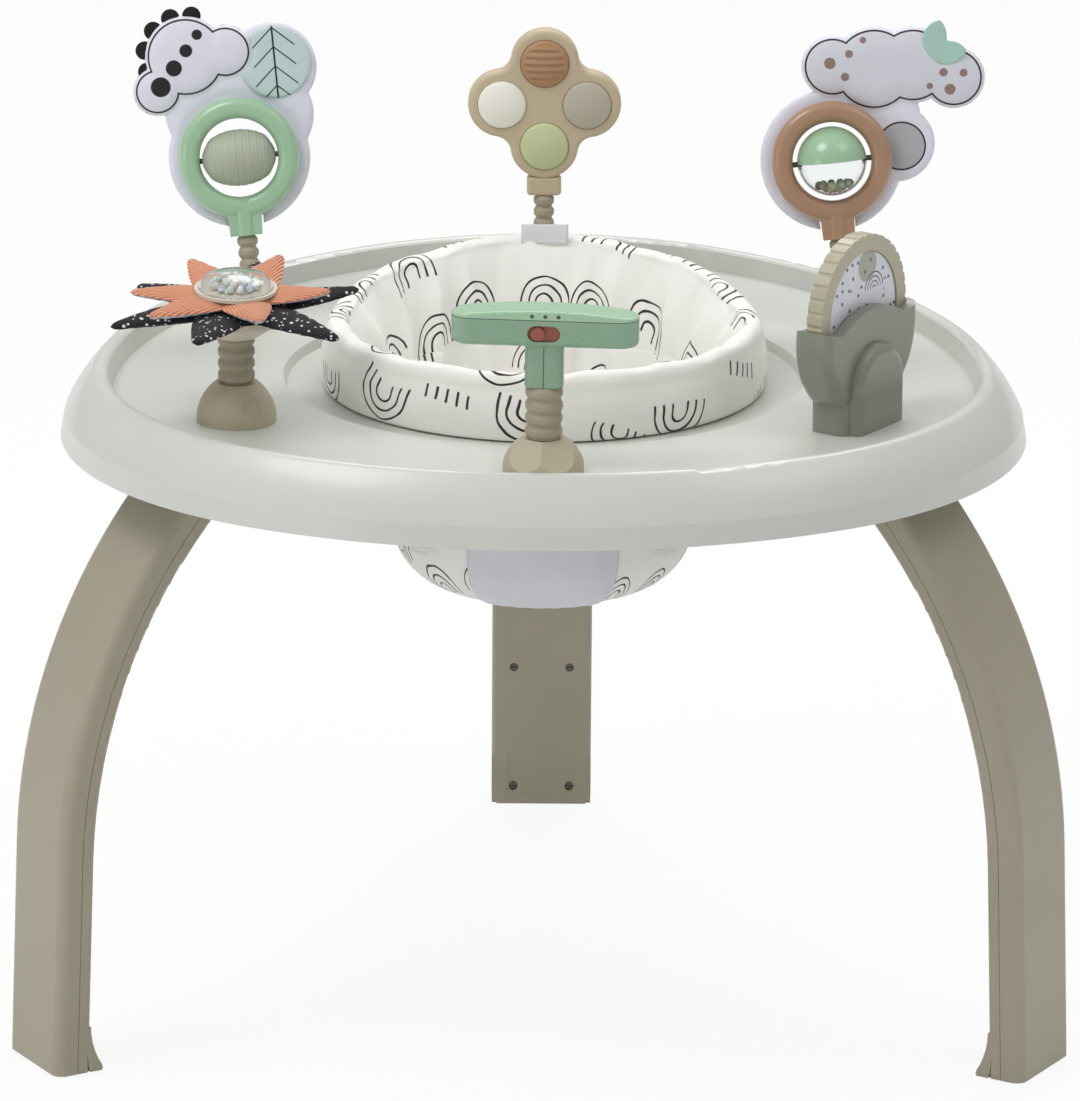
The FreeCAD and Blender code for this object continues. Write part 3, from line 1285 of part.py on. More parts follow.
def ball_beads():
    reach = BALL_RADIUS - BALL_WALL - SEAT_GAP - BEAD_RADIUS
    beads = []
    for tilt, count in BEAD_RINGS:
        for k in range(count):
            ring = polar(reach * math.sin(math.radians(tilt)), FULL_TURN * k / count)
            beads.append(Part.makeSphere(BEAD_RADIUS, ring - V(0, 0, reach * math.cos(math.radians(tilt)))))
    return group(beads)


def ball_pins():
    length = RING_HOLE_RADIUS + AXLE_INSET - BALL_RADIUS + BALL_PIN_ENGAGE - RUNNING_GAP
    pins = []
    for side in (1, -1):
        start = V(side * (BALL_RADIUS - BALL_PIN_ENGAGE), 0, 0)
        pins.append(rod(AXLE_RADIUS, length, start, V(side, 0, 0)))
    return group(pins)


# A stuffed round: thickest in the middle, thin at its seam.
def stuffed_round(x, z, radius, thickness):
    rise = (thickness - PLUSH_SEAM) / 2
    sphere = (radius ** 2 + rise ** 2) / (2 * rise)
    half = math.asin(radius / sphere) / 2
    side = sphere * math.sin(half)
    height = thickness / 2 - sphere * (1 - math.cos(half))
    steps = [
        (at(side, height), at(0, thickness / 2)), at(0, -thickness / 2),
        (at(side, -height), at(radius, -PLUSH_SEAM / 2)),
    ]
    disc = lathe(at(radius, PLUSH_SEAM / 2), steps)
    return moved(turned(disc, CENTRE, ACROSS, FULL_TURN / 4), x, plush_plane(), z)


# The stuffed panels hang behind the ring, on one plane.
def plush_plane():
    return RING_DEPTH / 2 + SEAT_GAP + HALO_THICKNESS / 2


def plush(thin_rounds, full_rounds):
    body = [stuffed_round(x, z, radius, HALO_THICKNESS) for x, z, radius in thin_rounds]
    body += [stuffed_round(x, z, radius, CLOUD_THICKNESS) for x, z, radius in full_rounds]
    hole = rod(PLUSH_HOLE_RADIUS, RING_DEPTH * 2, CENTRE, DEPTH)
    width = RING_NECK_TOP_WIDTH + 2 * SEAT_GAP
    neck = block(width, RING_DEPTH * 4, RING_CENTRE_RISE, 0, 0, -RING_CENTRE_RISE - RING_OUTER_RADIUS)
    return body[0].fuse(body[1:]).cut([hole, neck])


def left_plush():
    return plush(LEFT_HALO, LEFT_CLOUD)


def left_leaf():
    x, z, radius = LEFT_LEAF
    pad = moved(stuffed_round(x, z, radius, HALO_THICKNESS), 0, -HALO_THICKNESS / 2, 0)
    return pad.cut(left_plush())


def left_tabs():
    x, z, radius = LEFT_CLOUD[0]
    plane = plush_plane() - TAB_THICKNESS / 2
    tabs = []
    for angle in TAB_ANGLES:
        centre = polar(radius, angle)
        tabs.append(rod(TAB_RADIUS, TAB_THICKNESS, V(x + centre.x, plane, z + centre.y), DEPTH))
    body = left_plush()
    return group([tab.cut(body) for tab in tabs])


def right_plush():
    return plush(RIGHT_HALO, RIGHT_CLOUD)


def leaf_blade(angle):
    half = LEAF_LENGTH / 2
    edges = [(at(half, LEAF_HALF_WIDTH), at(LEAF_LENGTH, 0)), (at(half, -LEAF_HALF_WIDTH), at(0, 0))]
    face = Part.Face(wire_of(at(0, 0), edges))
    return turned(face.extrude(V(0, LEAF_THICKNESS, 0)), CENTRE, DEPTH, -angle)


def right_leaf():
    blades = [leaf_blade(angle) for angle in LEAF_ANGLES]
    y = plush_plane() - CLOUD_THICKNESS / 2 - LEAF_STANDOFF
    pair = moved(blades[0].fuse(blades[1:]), LEAF_FOOT[0], y, LEAF_FOOT[1])
    return pair.cut(right_plush())


def set_ring_toy(shape, where):
    rise = CONE_BASE["height"] + LEAN_LIFT + RING_STEM_LENGTH + RING_CENTRE_RISE
    return place(lean(moved(shape, 0, 0, rise)), where)


def ring_stem(where):
    stem = ribbed_stem(THIN_STEM, RING_STEM_LENGTH, RING_STEM_RIBS, CONE_BASE["height"] + LEAN_LIFT)
    return place(lean(stem), where)


# Clover: four lobes with a push-through dome in each.
def clover_plan(inset, depth, y):
    reach = CLOVER_LOBE_RADIUS + CLOVER_FILLET
    offset = CLOVER_LOBE_PLACE
    notch = (offset + math.sqrt(2 * reach ** 2 - offset ** 2)) / 2
    open_angle = math.degrees(math.atan2(notch, notch - offset))
    radius = CLOVER_LOBE_RADIUS - inset
    hollow = (notch - (CLOVER_FILLET + inset) * math.sqrt(1 / 2)) * math.sqrt(2)
    steps = []
    for angle in LOBE_NAMES.values():
        centre = polar(offset, angle)
        end = centre + polar(radius, angle + open_angle)
        steps.append((centre + polar(radius, angle), end))
        following = angle + FULL_TURN / 4
        start = polar(offset, following) + polar(radius, following - open_angle)
        steps.append((polar(hollow, angle + FULL_TURN / 8), start))
    first = polar(offset, 0) + polar(radius, -open_angle)
    solid = Part.Face(wire_of(first, steps)).extrude(V(0, 0, depth))
    return moved(turned(solid, CENTRE, ACROSS, FULL_TURN / 4), 0, y + depth, 0)


def clover_collar():
    low = -CLOVER_CENTRE_RISE
    barrel = rounded_bar(COLLAR_WIDTH, COLLAR_DEPTH, COLLAR_HEIGHT, COLLAR_CORNER, 0, 0, low)
    ends = edges_at(barrel, low) + edges_at(barrel, low + COLLAR_HEIGHT)
    barrel = barrel.makeFillet(COLLAR_EDGE, ends)
    width = COLLAR_WIDTH - 3 * COLLAR_EDGE
    depth = COLLAR_DEPTH - 3 * COLLAR_EDGE
    core = block(width, depth, COLLAR_HEIGHT, 0, 0, low + COLLAR_HEIGHT / 2)
    return barrel.fuse(core)


# Half of the clover's shell, towards minus Y.
def clover_half():
    half = CLOVER_DEPTH / 2
    outside = clover_plan(0, half, -half)
    rim = [e for e in outside.Edges if e.BoundBox.YMax < -half + RUNNING_GAP]
    outside = outside.makeFillet(CLOVER_EDGE, rim)
    inside = clover_plan(CLOVER_WALL, half - CLOVER_WALL, -half + CLOVER_WALL)
    front = block(COLLAR_WIDTH * 2, half * 4, CLOVER_CENTRE_RISE * 2, 0, -half * 2, -CLOVER_CENTRE_RISE)
    collar = clover_collar().common(front).cut(inside)
    bore = head_bore(THIN_STEM, -CLOVER_CENTRE_RISE)
    return join([outside.cut(inside), collar]).cut(bore)


def clover_front():
    half = CLOVER_DEPTH / 2
    sleeves = []
    holes = []
    for angle in LOBE_NAMES.values():
        centre = polar(CLOVER_LOBE_PLACE, angle)
        start = V(centre.x, -half, centre.y)
        sleeves.append(rod(POPPER_RADIUS + SEAT_GAP + CLOVER_WALL, half, start, DEPTH))
        holes.append(rod(POPPER_RADIUS + SEAT_GAP, half * 4, start - V(0, half, 0), DEPTH))
    return join([clover_half()] + sleeves).cut(holes)


def clover_rear():
    return clover_half().mirror(CENTRE, DEPTH)


def popper(angle):
    cap = domed_shell(POPPER_RADIUS, POPPER_DOME, POPPER_EDGE, POPPER_WALL, POPPER_SKIRT)
    cap = turned(cap, CENTRE, ACROSS, FULL_TURN / 4)
    centre = polar(CLOVER_LOBE_PLACE, angle)
    return moved(cap, centre.x, POPPER_INSET - CLOVER_DEPTH / 2, centre.y)


def set_clover(shape):
    rise = CONE_BASE["height"] + CLOVER_STEM_LENGTH + CLOVER_CENTRE_RISE
    return place(moved(shape, 0, 0, rise), CLOVER_PLACE)


# Wheel toy. Local X runs across the disc, the disc turns about local Y, and its outer face
# looks towards minus Y before the toy is turned to face out from the tray.
def housing_outline():
    far = 2 * HOUSING_RADIUS
    reach = math.sqrt(HOUSING_RADIUS ** 2 - (HORN_Z - HOUSING_DRUM_HEIGHT) ** 2)
    dip_x = reach * DIP_SHARE
    flank_x = (reach + dip_x) / 2
    flank_z = (HORN_Z + DIP_Z) / 2 - HOUSING_LIP / 2
    steps = [
        at(far, 0), at(far, HORN_Z), at(reach, HORN_Z),
        (at(flank_x, flank_z), at(dip_x, DIP_Z)),
        (at(0, HUMP_Z), at(-dip_x, DIP_Z)),
        (at(-flank_x, flank_z), at(-reach, HORN_Z)),
        at(-far, HORN_Z),
    ]
    return Part.Face(wire_of(at(-far, 0), steps))


# A drum with a rounded rim round the disc, open at the top, on a narrower foot.
def housing_block():
    depth = 2 * HOUSING_HALF_DEPTH
    drum = rod(HOUSING_RADIUS, depth, V(0, -HOUSING_HALF_DEPTH, HOUSING_DRUM_HEIGHT), DEPTH)
    rims = [edge for edge in drum.Edges if edge.BoundBox.YLength < RUNNING_GAP]
    drum = drum.makeFillet(HOUSING_EDGE, rims)
    keep = housing_outline().extrude(V(0, depth * 2, 0))
    cup = drum.common(moved(keep, 0, -depth, 0))
    foot = rounded_bar(2 * HOUSING_BASE_HALF, depth, HOUSING_FOOT_Z, HOUSING_CORNER)
    return join([cup, foot])


def disc_slot():
    room = DISC_THICKNESS / 2 + DISC_SIDE_GAP
    return rod(DISC_RADIUS + DISC_RIM_GAP, 2 * room, V(0, -room, DISC_HEIGHT), DEPTH)


def housing_cellar():
    wall = HOUSING_WALL * 2
    height = DISC_HEIGHT - DISC_RADIUS - DISC_RIM_GAP - wall
    depth = 2 * HOUSING_HALF_DEPTH - wall
    corner = HOUSING_CORNER - HOUSING_WALL
    return rounded_bar(2 * HOUSING_BASE_HALF - wall, depth, height, corner, 0, 0, HOUSING_WALL)


# An arched bulge on the outer face, from the floor up.
def housing_bulge():
    low = at(-BULGE_HALF, 0)
    side = at(BULGE_HALF, BULGE_SIDE_Z)
    steps = [at(-BULGE_HALF, BULGE_SIDE_Z), (at(0, BULGE_TOP_Z), side), at(BULGE_HALF, 0)]
    depth = BULGE_REACH + HOUSING_WALL
    face = Part.Face(wire_of(low, steps))
    start = -HOUSING_HALF_DEPTH - BULGE_REACH
    solid = moved(face.extrude(V(0, depth, 0)), 0, start, 0)
    rim = []
    for edge in solid.Edges:
        box = edge.BoundBox
        if box.YMax < start + RUNNING_GAP and box.ZMax > RUNNING_GAP:
            rim.append(edge)
    return solid.makeFillet(BULGE_EDGE, rim)


def trunnion_bore():
    reach = DISC_THICKNESS / 2 + TRUNNION_LENGTH + SEAT_GAP
    return rod(TRUNNION_RADIUS + RUNNING_GAP, 2 * reach, V(0, -reach, DISC_HEIGHT), DEPTH)


def housing_front_half():
    depth = HOUSING_RADIUS
    front = block(HOUSING_RADIUS * 4, depth, DISC_HEIGHT * 2, 0, -depth / 2, 0)
    return housing_block().common(front)


def housing_front():
    body = join([housing_front_half(), housing_bulge()])
    return body.cut([housing_cellar(), trunnion_bore(), disc_slot()])


def housing_rear():
    return housing_front_half().cut([housing_cellar(), trunnion_bore(), disc_slot()]).mirror(CENTRE, DEPTH)


def wheel_disc():
    half = DISC_THICKNESS / 2
    disc = rod(DISC_RADIUS, DISC_THICKNESS, V(0, -half, DISC_HEIGHT), DEPTH)
    recess = [
        rod(DISC_FACE_RADIUS, DISC_RECESS, V(0, -half, DISC_HEIGHT), DEPTH),
        rod(DISC_FACE_RADIUS, DISC_RECESS, V(0, half - DISC_RECESS, DISC_HEIGHT), DEPTH),
    ]
    knurls = []
    for k in range(KNURL_COUNT):
        centre = polar(DISC_RADIUS + KNURL_RADIUS - KNURL_DEPTH, FULL_TURN * k / KNURL_COUNT)
        knurls.append(rod(KNURL_RADIUS, DISC_THICKNESS, V(centre.x, -half, DISC_HEIGHT + centre.y), DEPTH))
    length = DISC_THICKNESS + 2 * TRUNNION_LENGTH
    pin = rod(TRUNNION_RADIUS, length, V(0, -length / 2, DISC_HEIGHT), DEPTH)
    return disc.cut(recess + knurls).fuse(pin).removeSplitter()


def disc_pictures():
    outer = DISC_FACE_RADIUS - PICTURE_RIM_GAP
    start = DISC_THICKNESS / 2 - DISC_RECESS
    hole = rod(TRUNNION_RADIUS + PICTURE_RIM_GAP, OVERRUN * 2, V(0, -OVERRUN, DISC_HEIGHT), DEPTH)
    pictures = []
    for sign in (1, -1):
        disc = rod(outer, PICTURE_THICKNESS, V(0, sign * start, DISC_HEIGHT), V(0, sign, 0))
        pictures.append(disc.cut(hole))
    return group(pictures)


# The outer face is local minus Y, so the toy is turned a quarter more than its station angle.
def set_wheel(shape):
    return place(shape, WHEEL_PLACE, WHEEL_YAW + FULL_TURN / 4)


def save_frame():
    save("tray_top", tray_top())
    shell = leg_shell()
    for name, angle in LEG_ANGLES.items():
        save("leg_" + name, turned(shell, CENTRE, UP, angle))
    save("leg_covers", around_legs(leg_cover()))
    save("leg_sockets", around_legs(leg_socket()))
    save("foot_pads", around_legs(foot_pad(PAD_THICKNESS)))
    save("frame_screws", frame_screws())


def save_seat():
    save("seat_ring", seat_ring())
    save("seat_clamp_ring", seat_clamp_ring())
    save("seat_cuff", seat_cuff())
    save("seat_bucket", seat_bucket())
    save("crotch_panel", crotch_panel())
    save("seat_tag", seat_tag())


def save_music():
    save("music_base", place(music_base(), MUSIC_PLACE, MUSIC_YAW))
    foot = MUSIC_BASE["height"] + MUSIC_LIFT / 2
    stem = ribbed_stem(THICK_STEM, MUSIC_STEM_LENGTH - MUSIC_LIFT, MUSIC_STEM_RIBS, foot)
    save("music_stem", set_music(stem))
    save("music_case_lower", set_music(music_case_lower()))
    save("music_case_upper", set_music(music_case_upper()))
    save("music_switch", set_music(music_switch()))
    save("music_face", set_music(music_face()))
    for side in button_places():
        save("music_button_" + side, set_music(music_button(side)))
    save("music_sound_unit", set_music(music_sound_unit()))
    save("battery_door", set_music(battery_door()))


def save_flower():
    hub, rim_top, black, orange, cap = flower_levels()
    save("flower_base", place(flower_base(), FLOWER_PLACE))
    lift = THICK_STEM["radius"] * math.sin(math.radians(FLOWER_TILT))
    foot = FLOWER_BASE["height"] + lift
    stem = ribbed_stem(THICK_STEM, FLOWER_STEM_LENGTH - lift, FLOWER_STEM_RIBS, foot)
    save("flower_stem", set_flower(stem))
    save("flower_hub", set_flower(flower_hub()))
    save("flower_dome", set_flower(flower_dome()))
    save("flower_beads", set_flower(flower_beads()))
    save("petals_orange", set_flower(star(ORANGE, orange, ORANGE_PETALS)))
    save("petals_black", set_flower(star(BLACK, black, BLACK_PETALS)))


def save_ring_toys():
    save("thin_stem_bases", thin_stem_bases())
    for side, where in (("left", LEFT_RING_PLACE), ("right", RIGHT_RING_PLACE)):
        save(side + "_ring_stem", ring_stem(where))
        save(side + "_ring_front", set_ring_toy(ring_front(), where))
        save(side + "_ring_rear", set_ring_toy(ring_rear(), where))
    save("spinner", set_ring_toy(spinner(), LEFT_RING_PLACE))
    save("spinner_axle", set_ring_toy(spinner_axle(), LEFT_RING_PLACE))
    save("left_plush", set_ring_toy(left_plush(), LEFT_RING_PLACE))
    save("left_leaf", set_ring_toy(left_leaf(), LEFT_RING_PLACE))
    save("left_tabs", set_ring_toy(left_tabs(), LEFT_RING_PLACE))
    save("ball_top", set_ring_toy(ball_half(1), RIGHT_RING_PLACE))
    save("ball_bottom", set_ring_toy(ball_half(-1), RIGHT_RING_PLACE))
    save("ball_beads", set_ring_toy(ball_beads(), RIGHT_RING_PLACE))
    save("ball_pins", set_ring_toy(ball_pins(), RIGHT_RING_PLACE))
    save("right_plush", set_ring_toy(right_plush(), RIGHT_RING_PLACE))
    save("right_leaf", set_ring_toy(right_leaf(), RIGHT_RING_PLACE))


def save_clover():
    stem = ribbed_stem(THIN_STEM, CLOVER_STEM_LENGTH, CLOVER_STEM_RIBS, CONE_BASE["height"])
    save("clover_stem", place(stem, CLOVER_PLACE))
    save("clover_front", set_clover(clover_front()))
    save("clover_rear", set_clover(clover_rear()))
    for name, angle in LOBE_NAMES.items():
        save("popper_" + name, set_clover(popper(angle)))


def save_wheel():
    save("wheel_housing_front", set_wheel(housing_front()))
    save("wheel_housing_rear", set_wheel(housing_rear()))
    save("wheel_disc", set_wheel(wheel_disc()))
    save("wheel_pictures", set_wheel(disc_pictures()))


os.makedirs("parts", exist_ok=True)
save_frame()
save_seat()
save_music()
save_flower()
save_ring_toys()
save_clover()
save_wheel()
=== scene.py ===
import bpy
import bmesh
import json
import math
import numpy as np
from mathutils import Matrix, Vector


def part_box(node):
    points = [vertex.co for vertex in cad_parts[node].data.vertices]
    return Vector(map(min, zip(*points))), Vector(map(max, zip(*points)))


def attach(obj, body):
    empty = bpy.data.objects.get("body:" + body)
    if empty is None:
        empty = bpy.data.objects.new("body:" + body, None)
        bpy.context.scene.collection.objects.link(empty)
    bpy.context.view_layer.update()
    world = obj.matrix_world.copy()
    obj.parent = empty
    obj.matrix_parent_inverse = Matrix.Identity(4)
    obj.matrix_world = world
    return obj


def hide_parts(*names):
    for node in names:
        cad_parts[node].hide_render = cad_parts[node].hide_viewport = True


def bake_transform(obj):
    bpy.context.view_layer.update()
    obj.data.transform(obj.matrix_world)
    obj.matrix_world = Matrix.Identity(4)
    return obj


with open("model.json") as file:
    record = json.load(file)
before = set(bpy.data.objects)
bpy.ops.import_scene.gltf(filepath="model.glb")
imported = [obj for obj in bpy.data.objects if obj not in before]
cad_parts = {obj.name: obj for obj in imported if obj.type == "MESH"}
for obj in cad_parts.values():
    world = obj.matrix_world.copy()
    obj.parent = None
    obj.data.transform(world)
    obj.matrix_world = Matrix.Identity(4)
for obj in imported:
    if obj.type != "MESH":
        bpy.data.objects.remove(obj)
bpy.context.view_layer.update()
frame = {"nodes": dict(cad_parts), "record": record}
nodes = frame["nodes"]

MM = 0.001
TURN = 6.2832  # one turn of a shader's wave
SHIFT = -0.04548254  # the seat's middle along Y, in metres
FLOOR = 0.498  # height of the tray's floor, in metres


def srgb(r, g, b):
    out = []
    for c in (r / 255, g / 255, b / 255):
        out.append(c / 12.92 if c <= 0.04045 else ((c + 0.055) / 1.055) ** 2.4)
    return (out[0], out[1], out[2], 1.0)


def clamp(value):
    return min(1.0, max(0.0, value))


# ---------- places of the toys ----------
# Frame of a toy on the tray: its place and the pivot's height in mm, its turns and yaw in degrees.
def toy_matrix(x, y, pivot, turns, yaw=0.0):
    m = Matrix.Translation((x * MM, y * MM + SHIFT, FLOOR)) @ Matrix.Rotation(math.radians(yaw), 4, "Z")
    p = Matrix.Translation((0, 0, pivot * MM))
    r = Matrix.Identity(4)
    for axis, angle in turns:
        r = Matrix.Rotation(math.radians(angle), 4, axis) @ r
    return m @ p @ r @ p.inverted()


RING_TURNS = (("Y", -6.0), ("X", -11.0))
RING_MIDDLE = Matrix.Translation((0, 0, 134.3 * MM))
LEFT_RING = toy_matrix(-233.7, 141.0, 22.0, RING_TURNS) @ RING_MIDDLE
RIGHT_RING = toy_matrix(241.4, 142.0, 22.0, RING_TURNS) @ RING_MIDDLE
FLOWER = toy_matrix(-237.8, -137.5, 31.0, (("X", 4.0),))
MUSIC = toy_matrix(0.0, -269.0, 26.0, (("Y", 0.5),), -4.0)
WHEEL_MIDDLE = (0.241, -0.134 + SHIFT, FLOOR + 0.090)
WHEEL_YAW = math.radians(56)


# ---------- node helpers ----------
class Net:
    def __init__(self, name):
        self.mat = bpy.data.materials.new(name)
        self.mat.use_nodes = True
        self.tree = self.mat.node_tree
        self.tree.nodes.clear()
        self.out = self.add("ShaderNodeOutputMaterial")
        self.bsdf = self.add("ShaderNodeBsdfPrincipled")
        self.link(self.bsdf.outputs[0], self.out.inputs["Surface"])
        self.places = None

    def link(self, a, b):
        self.tree.links.new(a, b)

    def add(self, kind, **settings):
        n = self.tree.nodes.new(kind)
        for k, v in settings.items():
            setattr(n, k, v)
        return n

    def put(self, socket, value):
        if isinstance(value, bpy.types.NodeSocket):
            self.link(value, socket)
        else:
            socket.default_value = value

    # Sets or links an input of the surface shader.
    def give(self, name, value):
        self.put(self.bsdf.inputs[name], value)

    def coord(self, kind="Object"):
        if self.places is None:
            self.places = self.add("ShaderNodeTexCoord")
        return self.places.outputs[kind]

    def math(self, op, a, b=0.0, clamp=False):
        n = self.add("ShaderNodeMath", operation=op, use_clamp=clamp)
        self.put(n.inputs[0], a)
        self.put(n.inputs[1], b)
        return n.outputs[0]

    def plus(self, a, b):
        return self.math("ADD", a, b)

    def minus(self, a, b):
        return self.math("SUBTRACT", a, b)

    def times(self, a, b):
        return self.math("MULTIPLY", a, b)

    def over(self, a, b):
        return self.math("DIVIDE", a, b)

    def most(self, a, b):
        return self.math("MAXIMUM", a, b)

    def size(self, a):
        return self.math("ABSOLUTE", a)

    # How far a repeating value is from the middle of its step, in steps.
    def from_line(self, steps):
        return self.size(self.minus(self.math("FRACT", steps), 0.5))

    def wave(self, a, pitch):
        return self.math("SINE", self.times(a, TURN / pitch))

    def vmath(self, op, a, b=(0, 0, 0), out=0):
        n = self.add("ShaderNodeVectorMath", operation=op)
        self.put(n.inputs[0], a)
        self.put(n.inputs[1], b)
        return n.outputs[out]

    def offset(self, a, b):
        return self.vmath("SUBTRACT", a, b)

    def dot(self, a, b):
        return self.vmath("DOT_PRODUCT", a, b, out=1)

    def length(self, a):
        return self.vmath("LENGTH", a, out=1)

    def scale(self, a, k):
        n = self.add("ShaderNodeVectorMath", operation="SCALE")
        self.put(n.inputs[0], a)
        n.inputs["Scale"].default_value = k
        return n.outputs[0]

    def noise(self, vec, scale, detail=3.0, out=0):
        n = self.add("ShaderNodeTexNoise")
        self.put(n.inputs["Vector"], vec)
        n.inputs["Scale"].default_value = scale
        n.inputs["Detail"].default_value = detail
        return n.outputs[out]

    def cells(self, vec, pitch, spread, dimensions="2D"):
        n = self.add("ShaderNodeTexVoronoi", voronoi_dimensions=dimensions, feature="F1")
        self.put(n.inputs["Vector"], vec)
        n.inputs["Scale"].default_value = 1 / pitch
        n.inputs["Randomness"].default_value = spread
        return n.outputs

    def mix(self, fac, a, b):
        n = self.add("ShaderNodeMix", data_type="RGBA")
        self.put(n.inputs[0], fac)
        self.put(n.inputs[6], a)
        self.put(n.inputs[7], b)
        return n.outputs[2]

    def span(self, value, lo, hi, a, b):
        n = self.add("ShaderNodeMapRange")
        self.put(n.inputs[0], value)
        for i, v in zip((1, 2, 3, 4), (lo, hi, a, b)):
            n.inputs[i].default_value = v
        return n.outputs[0]

    # Spreads a noise, which stays near its middle, over a range.
    def spread(self, value, a, b):
        return self.span(value, 0.3, 0.7, a, b)

    def below(self, value, limit, soft):
        return self.span(value, limit - soft, limit + soft, 1.0, 0.0)

    def above(self, value, limit, soft):
        return self.span(value, limit - soft, limit + soft, 0.0, 1.0)

    def bump(self, height, strength, distance):
        n = self.add("ShaderNodeBump")
        n.inputs["Strength"].default_value = strength
        n.inputs["Distance"].default_value = distance
        self.put(n.inputs["Height"], height)
        return n.outputs[0]

    def split(self, vec):
        n = self.add("ShaderNodeSeparateXYZ")
        self.put(n.inputs[0], vec)
        return n.outputs

    def join(self, x, y):
        n = self.add("ShaderNodeCombineXYZ")
        self.put(n.inputs[0], x)
        self.put(n.inputs[1], y)
        return n.outputs[0]

    # The object's coordinates in a toy's own frame.
    def local(self, matrix, axes):
        inverse = matrix.inverted()
        shift = inverse.translation
        return [self.plus(self.dot(self.coord(), tuple(inverse[i][:3])), shift[i]) for i in axes]


def show(o):
    bpy.context.scene.collection.objects.link(o)
    return o


def shade(color, k):
    return (min(1, color[0] * k), min(1, color[1] * k), min(1, color[2] * k), 1.0)


# A colour with a slight cloudy variation.
def toned(net, color, tone, scale=11.0):
    n = net.noise(net.coord(), scale, 4.0)
    return net.mix(net.spread(n, 0.0, 1.0), shade(color, 1 - tone), shade(color, 1 + tone))


GRAIN_SCALE = 520.0
GRAIN_DEPTH = 0.00008
WEAR_SCALE = 24.0
COAT_ROUGH = 0.12


# Moulded plastic: tone is the colour's variation, grain the strength of the fine relief.
def plastic(name, color, rough, tone, grain, coat=0.0):
    net = Net(name)
    net.color = toned(net, color, tone)
    net.give("Base Color", net.color)
    net.give("Normal", net.bump(net.noise(net.coord(), GRAIN_SCALE, 2.0), grain, GRAIN_DEPTH))
    wear = net.noise(net.coord(), WEAR_SCALE)
    net.give("Roughness", net.spread(wear, rough - 0.03, rough + 0.04))
    net.give("Coat Weight", coat)
    net.give("Coat Roughness", COAT_ROUGH)
    return net


FUZZ_SCALE = 900.0
WEAVE_DEPTH = 0.0004


# Woven cloth with a fine fuzz; weave is the threads' pitch in metres.
def cloth(name, color, tone, weave=0.00075, sheen=0.25):
    net = Net(name)
    x, y, z = net.split(net.coord())
    a = net.wave(net.plus(x, net.times(y, 0.5)), weave)
    b = net.wave(net.plus(z, net.times(y, 0.5)), weave)
    height = net.plus(net.times(net.times(a, b), 0.35), net.noise(net.coord(), FUZZ_SCALE))
    net.give("Normal", net.bump(height, 0.5, WEAVE_DEPTH))
    net.color = toned(net, color, tone, 30.0)
    net.give("Base Color", net.color)
    net.give("Roughness", 0.9)
    net.give("Sheen Weight", sheen)
    net.give("Sheen Roughness", 0.5)
    return net


WHITE = srgb(248, 247, 242)
INK = srgb(46, 36, 38)
PRINT_CELL = 0.062  # spacing of the printed groups, in metres
PRINT_WOBBLE = 0.0085
ARCH_PITCH = (0.0066, 0.0080)
ARCH_COUNT = 3.35
STROKE_PITCH = 0.0085
STROKE_SHARE = 0.86  # cells above this share carry strokes instead of arches
PRINT_THREAD = 0.0009


# White fabric printed with groups of nested arches and short strokes.
def print_fabric(name):
    net = Net(name)
    uv = net.coord("UV")
    wobble = net.offset(net.noise(uv, 34.0, 1.5, out=1), (0.5, 0.5, 0.5))
    vec = net.vmath("ADD", uv, net.scale(wobble, PRINT_WOBBLE))
    cell = net.cells(vec, PRINT_CELL, 0.45)
    r, g, b = net.split(cell["Color"])
    spin = net.add("ShaderNodeVectorRotate", rotation_type="Z_AXIS")
    net.put(spin.inputs["Vector"], net.offset(vec, cell["Position"]))
    net.put(spin.inputs["Angle"], net.plus(net.times(net.minus(r, 0.5), 0.7), math.pi))
    x, y, _ = net.split(spin.outputs[0])
    rho = net.length(net.join(x, net.most(y, 0.0)))
    steps = net.over(rho, net.span(b, 0.0, 1.0, *ARCH_PITCH))
    width = net.spread(net.noise(uv, 60.0, 1.0), 0.09, 0.15)
    line = net.below(net.minus(net.from_line(net.plus(steps, 0.5)), width), 0.0, 0.03)
    reach = net.times(net.below(steps, ARCH_COUNT, 0.03), net.above(rho, 0.0035, 0.0004))
    slant = net.times(net.size(x), net.span(g, 0.0, 0.8, -0.2, 0.35))
    foot = net.above(net.plus(y, slant), -0.0055, 0.0006)
    arches = net.times(net.times(line, reach), foot)
    bars = net.below(net.from_line(net.over(net.plus(x, 0.5), STROKE_PITCH)), 0.12, 0.03)
    box = net.times(net.below(net.size(y), 0.0052, 0.0004), net.below(net.size(x), 0.021, 0.0004))
    pick = net.above(g, STROKE_SHARE, 0.001)
    strokes = net.times(net.times(bars, box), pick)
    ink = net.math("ADD", net.times(arches, net.minus(1.0, pick)), strokes, clamp=True)
    net.give("Base Color", net.mix(ink, toned(net, WHITE, 0.03, 9.0), INK))
    u, v, _ = net.split(uv)
    weave = net.times(net.wave(u, PRINT_THREAD), net.wave(v, PRINT_THREAD))
    height = net.plus(net.times(weave, 0.3), net.noise(net.coord(), 420.0))
    net.give("Normal", net.bump(height, 0.45, WEAVE_DEPTH))
    net.give("Roughness", 0.88)
    net.give("Sheen Weight", 0.2)
    return net


